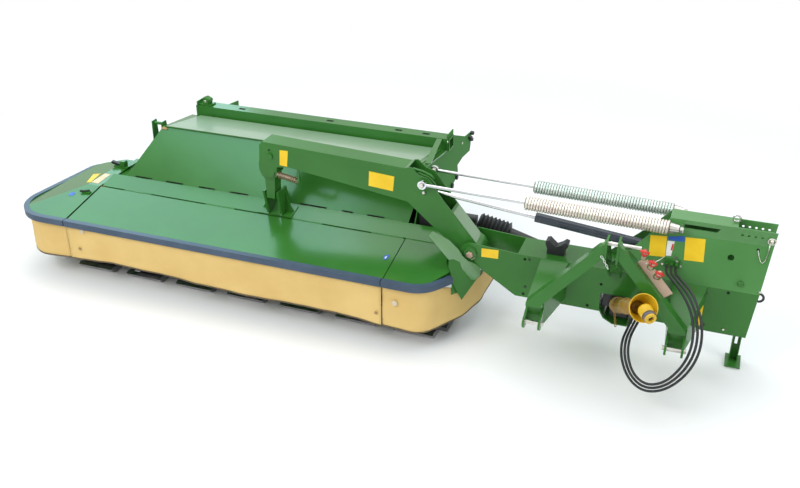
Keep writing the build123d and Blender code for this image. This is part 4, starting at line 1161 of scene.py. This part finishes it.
# Latches on the left guard, wedge on the rear bar, tag on the ridge
box("guard_latch_foot", (-4.065, 0.870, 0.606), (0.130, 0.060, 0.010), green, "left_guard")
box("guard_latch_block", (-4.050, 0.870, 0.632), (0.050, 0.050, 0.044), green, "left_guard")
box("guard_latch_lever", (-4.120, 0.868, 0.624), (0.080, 0.030, 0.022), rubber, "left_guard", (0, 14, 0))
box("seam_latch_foot", (-4.060, 0.385, 0.588), (0.070, 0.030, 0.010), green, "left_guard", (10, 0, 0))
round_bar("seam_latch_bar", [(-4.105, 0.368, 0.594), (-4.035, 0.392, 0.600)], 0.008, black, "left_guard")
box("bar_wedge", (-3.568, 1.460, 1.032), (0.060, 0.070, 0.058), green, "mower", (0, 24, 0))
box("bar_wedge_foot", (-3.575, 1.460, 1.007), (0.120, 0.080, 0.010), green, "mower")
heads("bar_wedge_bolt", [(-3.568, 1.425, 1.038)], to_front, 0.012, 0.010, zinc, "mower")
box("ridge_tag", (-3.620, 0.893, 0.990), (0.050, 0.004, 0.030), brown, "mower", (-56, 0, 0))

# Hook spring with its rod
hook_coil = helix(
    "hook_coil", at(-2.4060, 0.437, 0.9690), at(-2.2500, 0.437, 0.9420), 0.0190, 0.0045, 9, copper, "boom"
)
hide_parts("hook_spring")
round_bar(
    "hook_rod",
    [(-2.4150, 0.437, 0.9690), (-2.4090, 0.437, 0.9695), (-2.2440, 0.437, 0.9410)],
    0.0048,
    pale_zinc,
    "boom",
)

# Sheets painted paler than their paint, as painted reflection of the sky: roof, boom leg, inner shield's
# flange
# Roof sheet in pale green: painted reflection of the sky
sheet_plate(
    "roof_painted_sheen",
    between(-3.600, -1.520, (0.895, 1.0085), (1.380, 0.9268)),
    0.0012,
    roof_painted_reflection,
    "mower",
)
leg_top = [
    (-1.103, 0.430, 0.8918),
    (-0.930, 0.430, 0.6874),
    (-0.930, 0.570, 0.6874),
    (-1.103, 0.570, 0.8918),
]
sheet_plate(
    "leg_painted_sheen", [(x + sheen_gap, y, z + 0.0014) for x, y, z in leg_top], sheen_sheet, green_painted_sheen, "boom"
)
flange = [
    (-1.199, 0.290, 0.806),
    (-1.217, 0.250, 0.791),
    (-1.073, 0.262, 0.627),
    (-1.046, 0.290, 0.621),
    (-1.008, 0.310, 0.594),
    (-0.985, 0.294, 0.550),
    (-0.923, 0.300, 0.481),
    (-0.902, 0.320, 0.475),
    (-0.880, 0.359, 0.485),
    (-0.882, 0.386, 0.510),
    (-0.8914, 0.396, 0.532),
    (-0.9177, 0.387, 0.5556),
    (-0.9426, 0.3737, 0.5734),
    (-0.9667, 0.3584, 0.5885),
    (-1.003, 0.348, 0.623),
    (-1.032, 0.354, 0.663),
    (-1.100, 0.341, 0.733),
]
flange_face = Vector((0.664, -0.506, 0.55))
lifted = [tuple(Vector(c) + flange_face * sheen_gap) for c in flange]
sheet_plate("flange_painted_sheen", lifted, sheen_sheet, green_painted_sheen, "mower")

# Sheets that close the corners beside the hood and behind the inner shield; the seam channels, the hood's
# open end and the right floor sheet are dark sheets of painted shade
sheet_plate(
    "left_floor_sheet",
    between(-4.075, -3.760, (0.640, 0.586), (1.080, 0.586)),
    corner_sheet,
    green,
    "mower",
)
seam_front = (0.050, 0.512)
seam_back = (0.500, 0.588)
# Dark seam channels beside the front cover: painted shade in the seams
for side_name, x0, x1 in (("left", -4.050, -3.990), ("right", -1.500, -1.425)):
    channel = between(x0, x1, seam_front, seam_back)
    sheet_plate(f"{side_name}_seam_shade_sheet", channel, corner_sheet, shade_dark, "mower")
sheet_plate(
    "right_corner_sheet",
    [
        (-1.150, 0.150, 0.520),
        (-1.030, 0.240, 0.500),
        (-0.985, 0.330, 0.500),
        (-1.120, 0.480, 0.580),
        (-1.220, 0.400, 0.580),
    ],
    corner_sheet,
    green,
    "mower",
)
sheet_plate(
    "right_corner_apron",
    [(-1.037, 0.231, 0.380), (-0.990, 0.300, 0.380), (-0.990, 0.300, 0.520), (-1.037, 0.231, 0.525)],
    corner_sheet,
    green,
    "mower",
)
# Dark sheets across the hood's open end and on the floor beside it: painted shade
sheet_plate(
    "hood_end_shade",
    [(-1.520, 0.700, 0.600), (-1.520, 1.380, 0.600), (-1.520, 1.380, 0.890), (-1.520, 0.900, 0.960)],
    corner_sheet,
    shade_dark,
    "mower",
)
sheet_plate(
    "right_floor_shade",
    between(-1.600, -1.400, (0.640, 0.560), (1.100, 0.560)),
    corner_sheet,
    shade_dark,
    "mower",
)

# Pivot bolt with its washer, then knobs, pads and bolts on the end plate, then the springs' nuts
heads("pivot_washer", [(-0.959, 0.3778, 0.635)], to_front, 0.041, 0.003, green, "headstock", sides=28)
heads("pivot_bolt", [(-0.960, 0.3745, 0.631)], to_front, 0.025, 0.013, pivot_pink, "headstock", sides=6)
for number, (y, z) in enumerate(((1.985, 0.800), (2.015, 0.775), (2.035, 0.822)), 1):
    heads(f"end_knob_{number}", [(end_plate_x, y, z)], to_right, 0.017, 0.030, black, "mower", sides=12)
heads(
    "end_pads",
    [(end_plate_x, 1.653, 0.583), (end_plate_x, 1.534, 0.558)],
    to_right,
    0.022,
    0.016,
    black,
    "mower",
    sides=12,
)
heads(
    "end_bolts",
    [(end_plate_x, 1.793, 0.823), (-1.4523, 1.4025, 0.9805)],
    to_right,
    0.011,
    0.006,
    zinc,
    "mower",
)
for name, y in springs_y.items():
    heads(
        f"{name}_eye_nut",
        [(spring_eye.x, y - 0.0112, spring_eye.z)],
        to_front,
        0.019,
        0.016,
        zinc,
        f"{name}_spring_rod",
    )
    heads(f"{name}_seat_nut", [(0.350, y, 1.049)], to_right, 0.021, 0.020, zinc, f"{name}_spring")
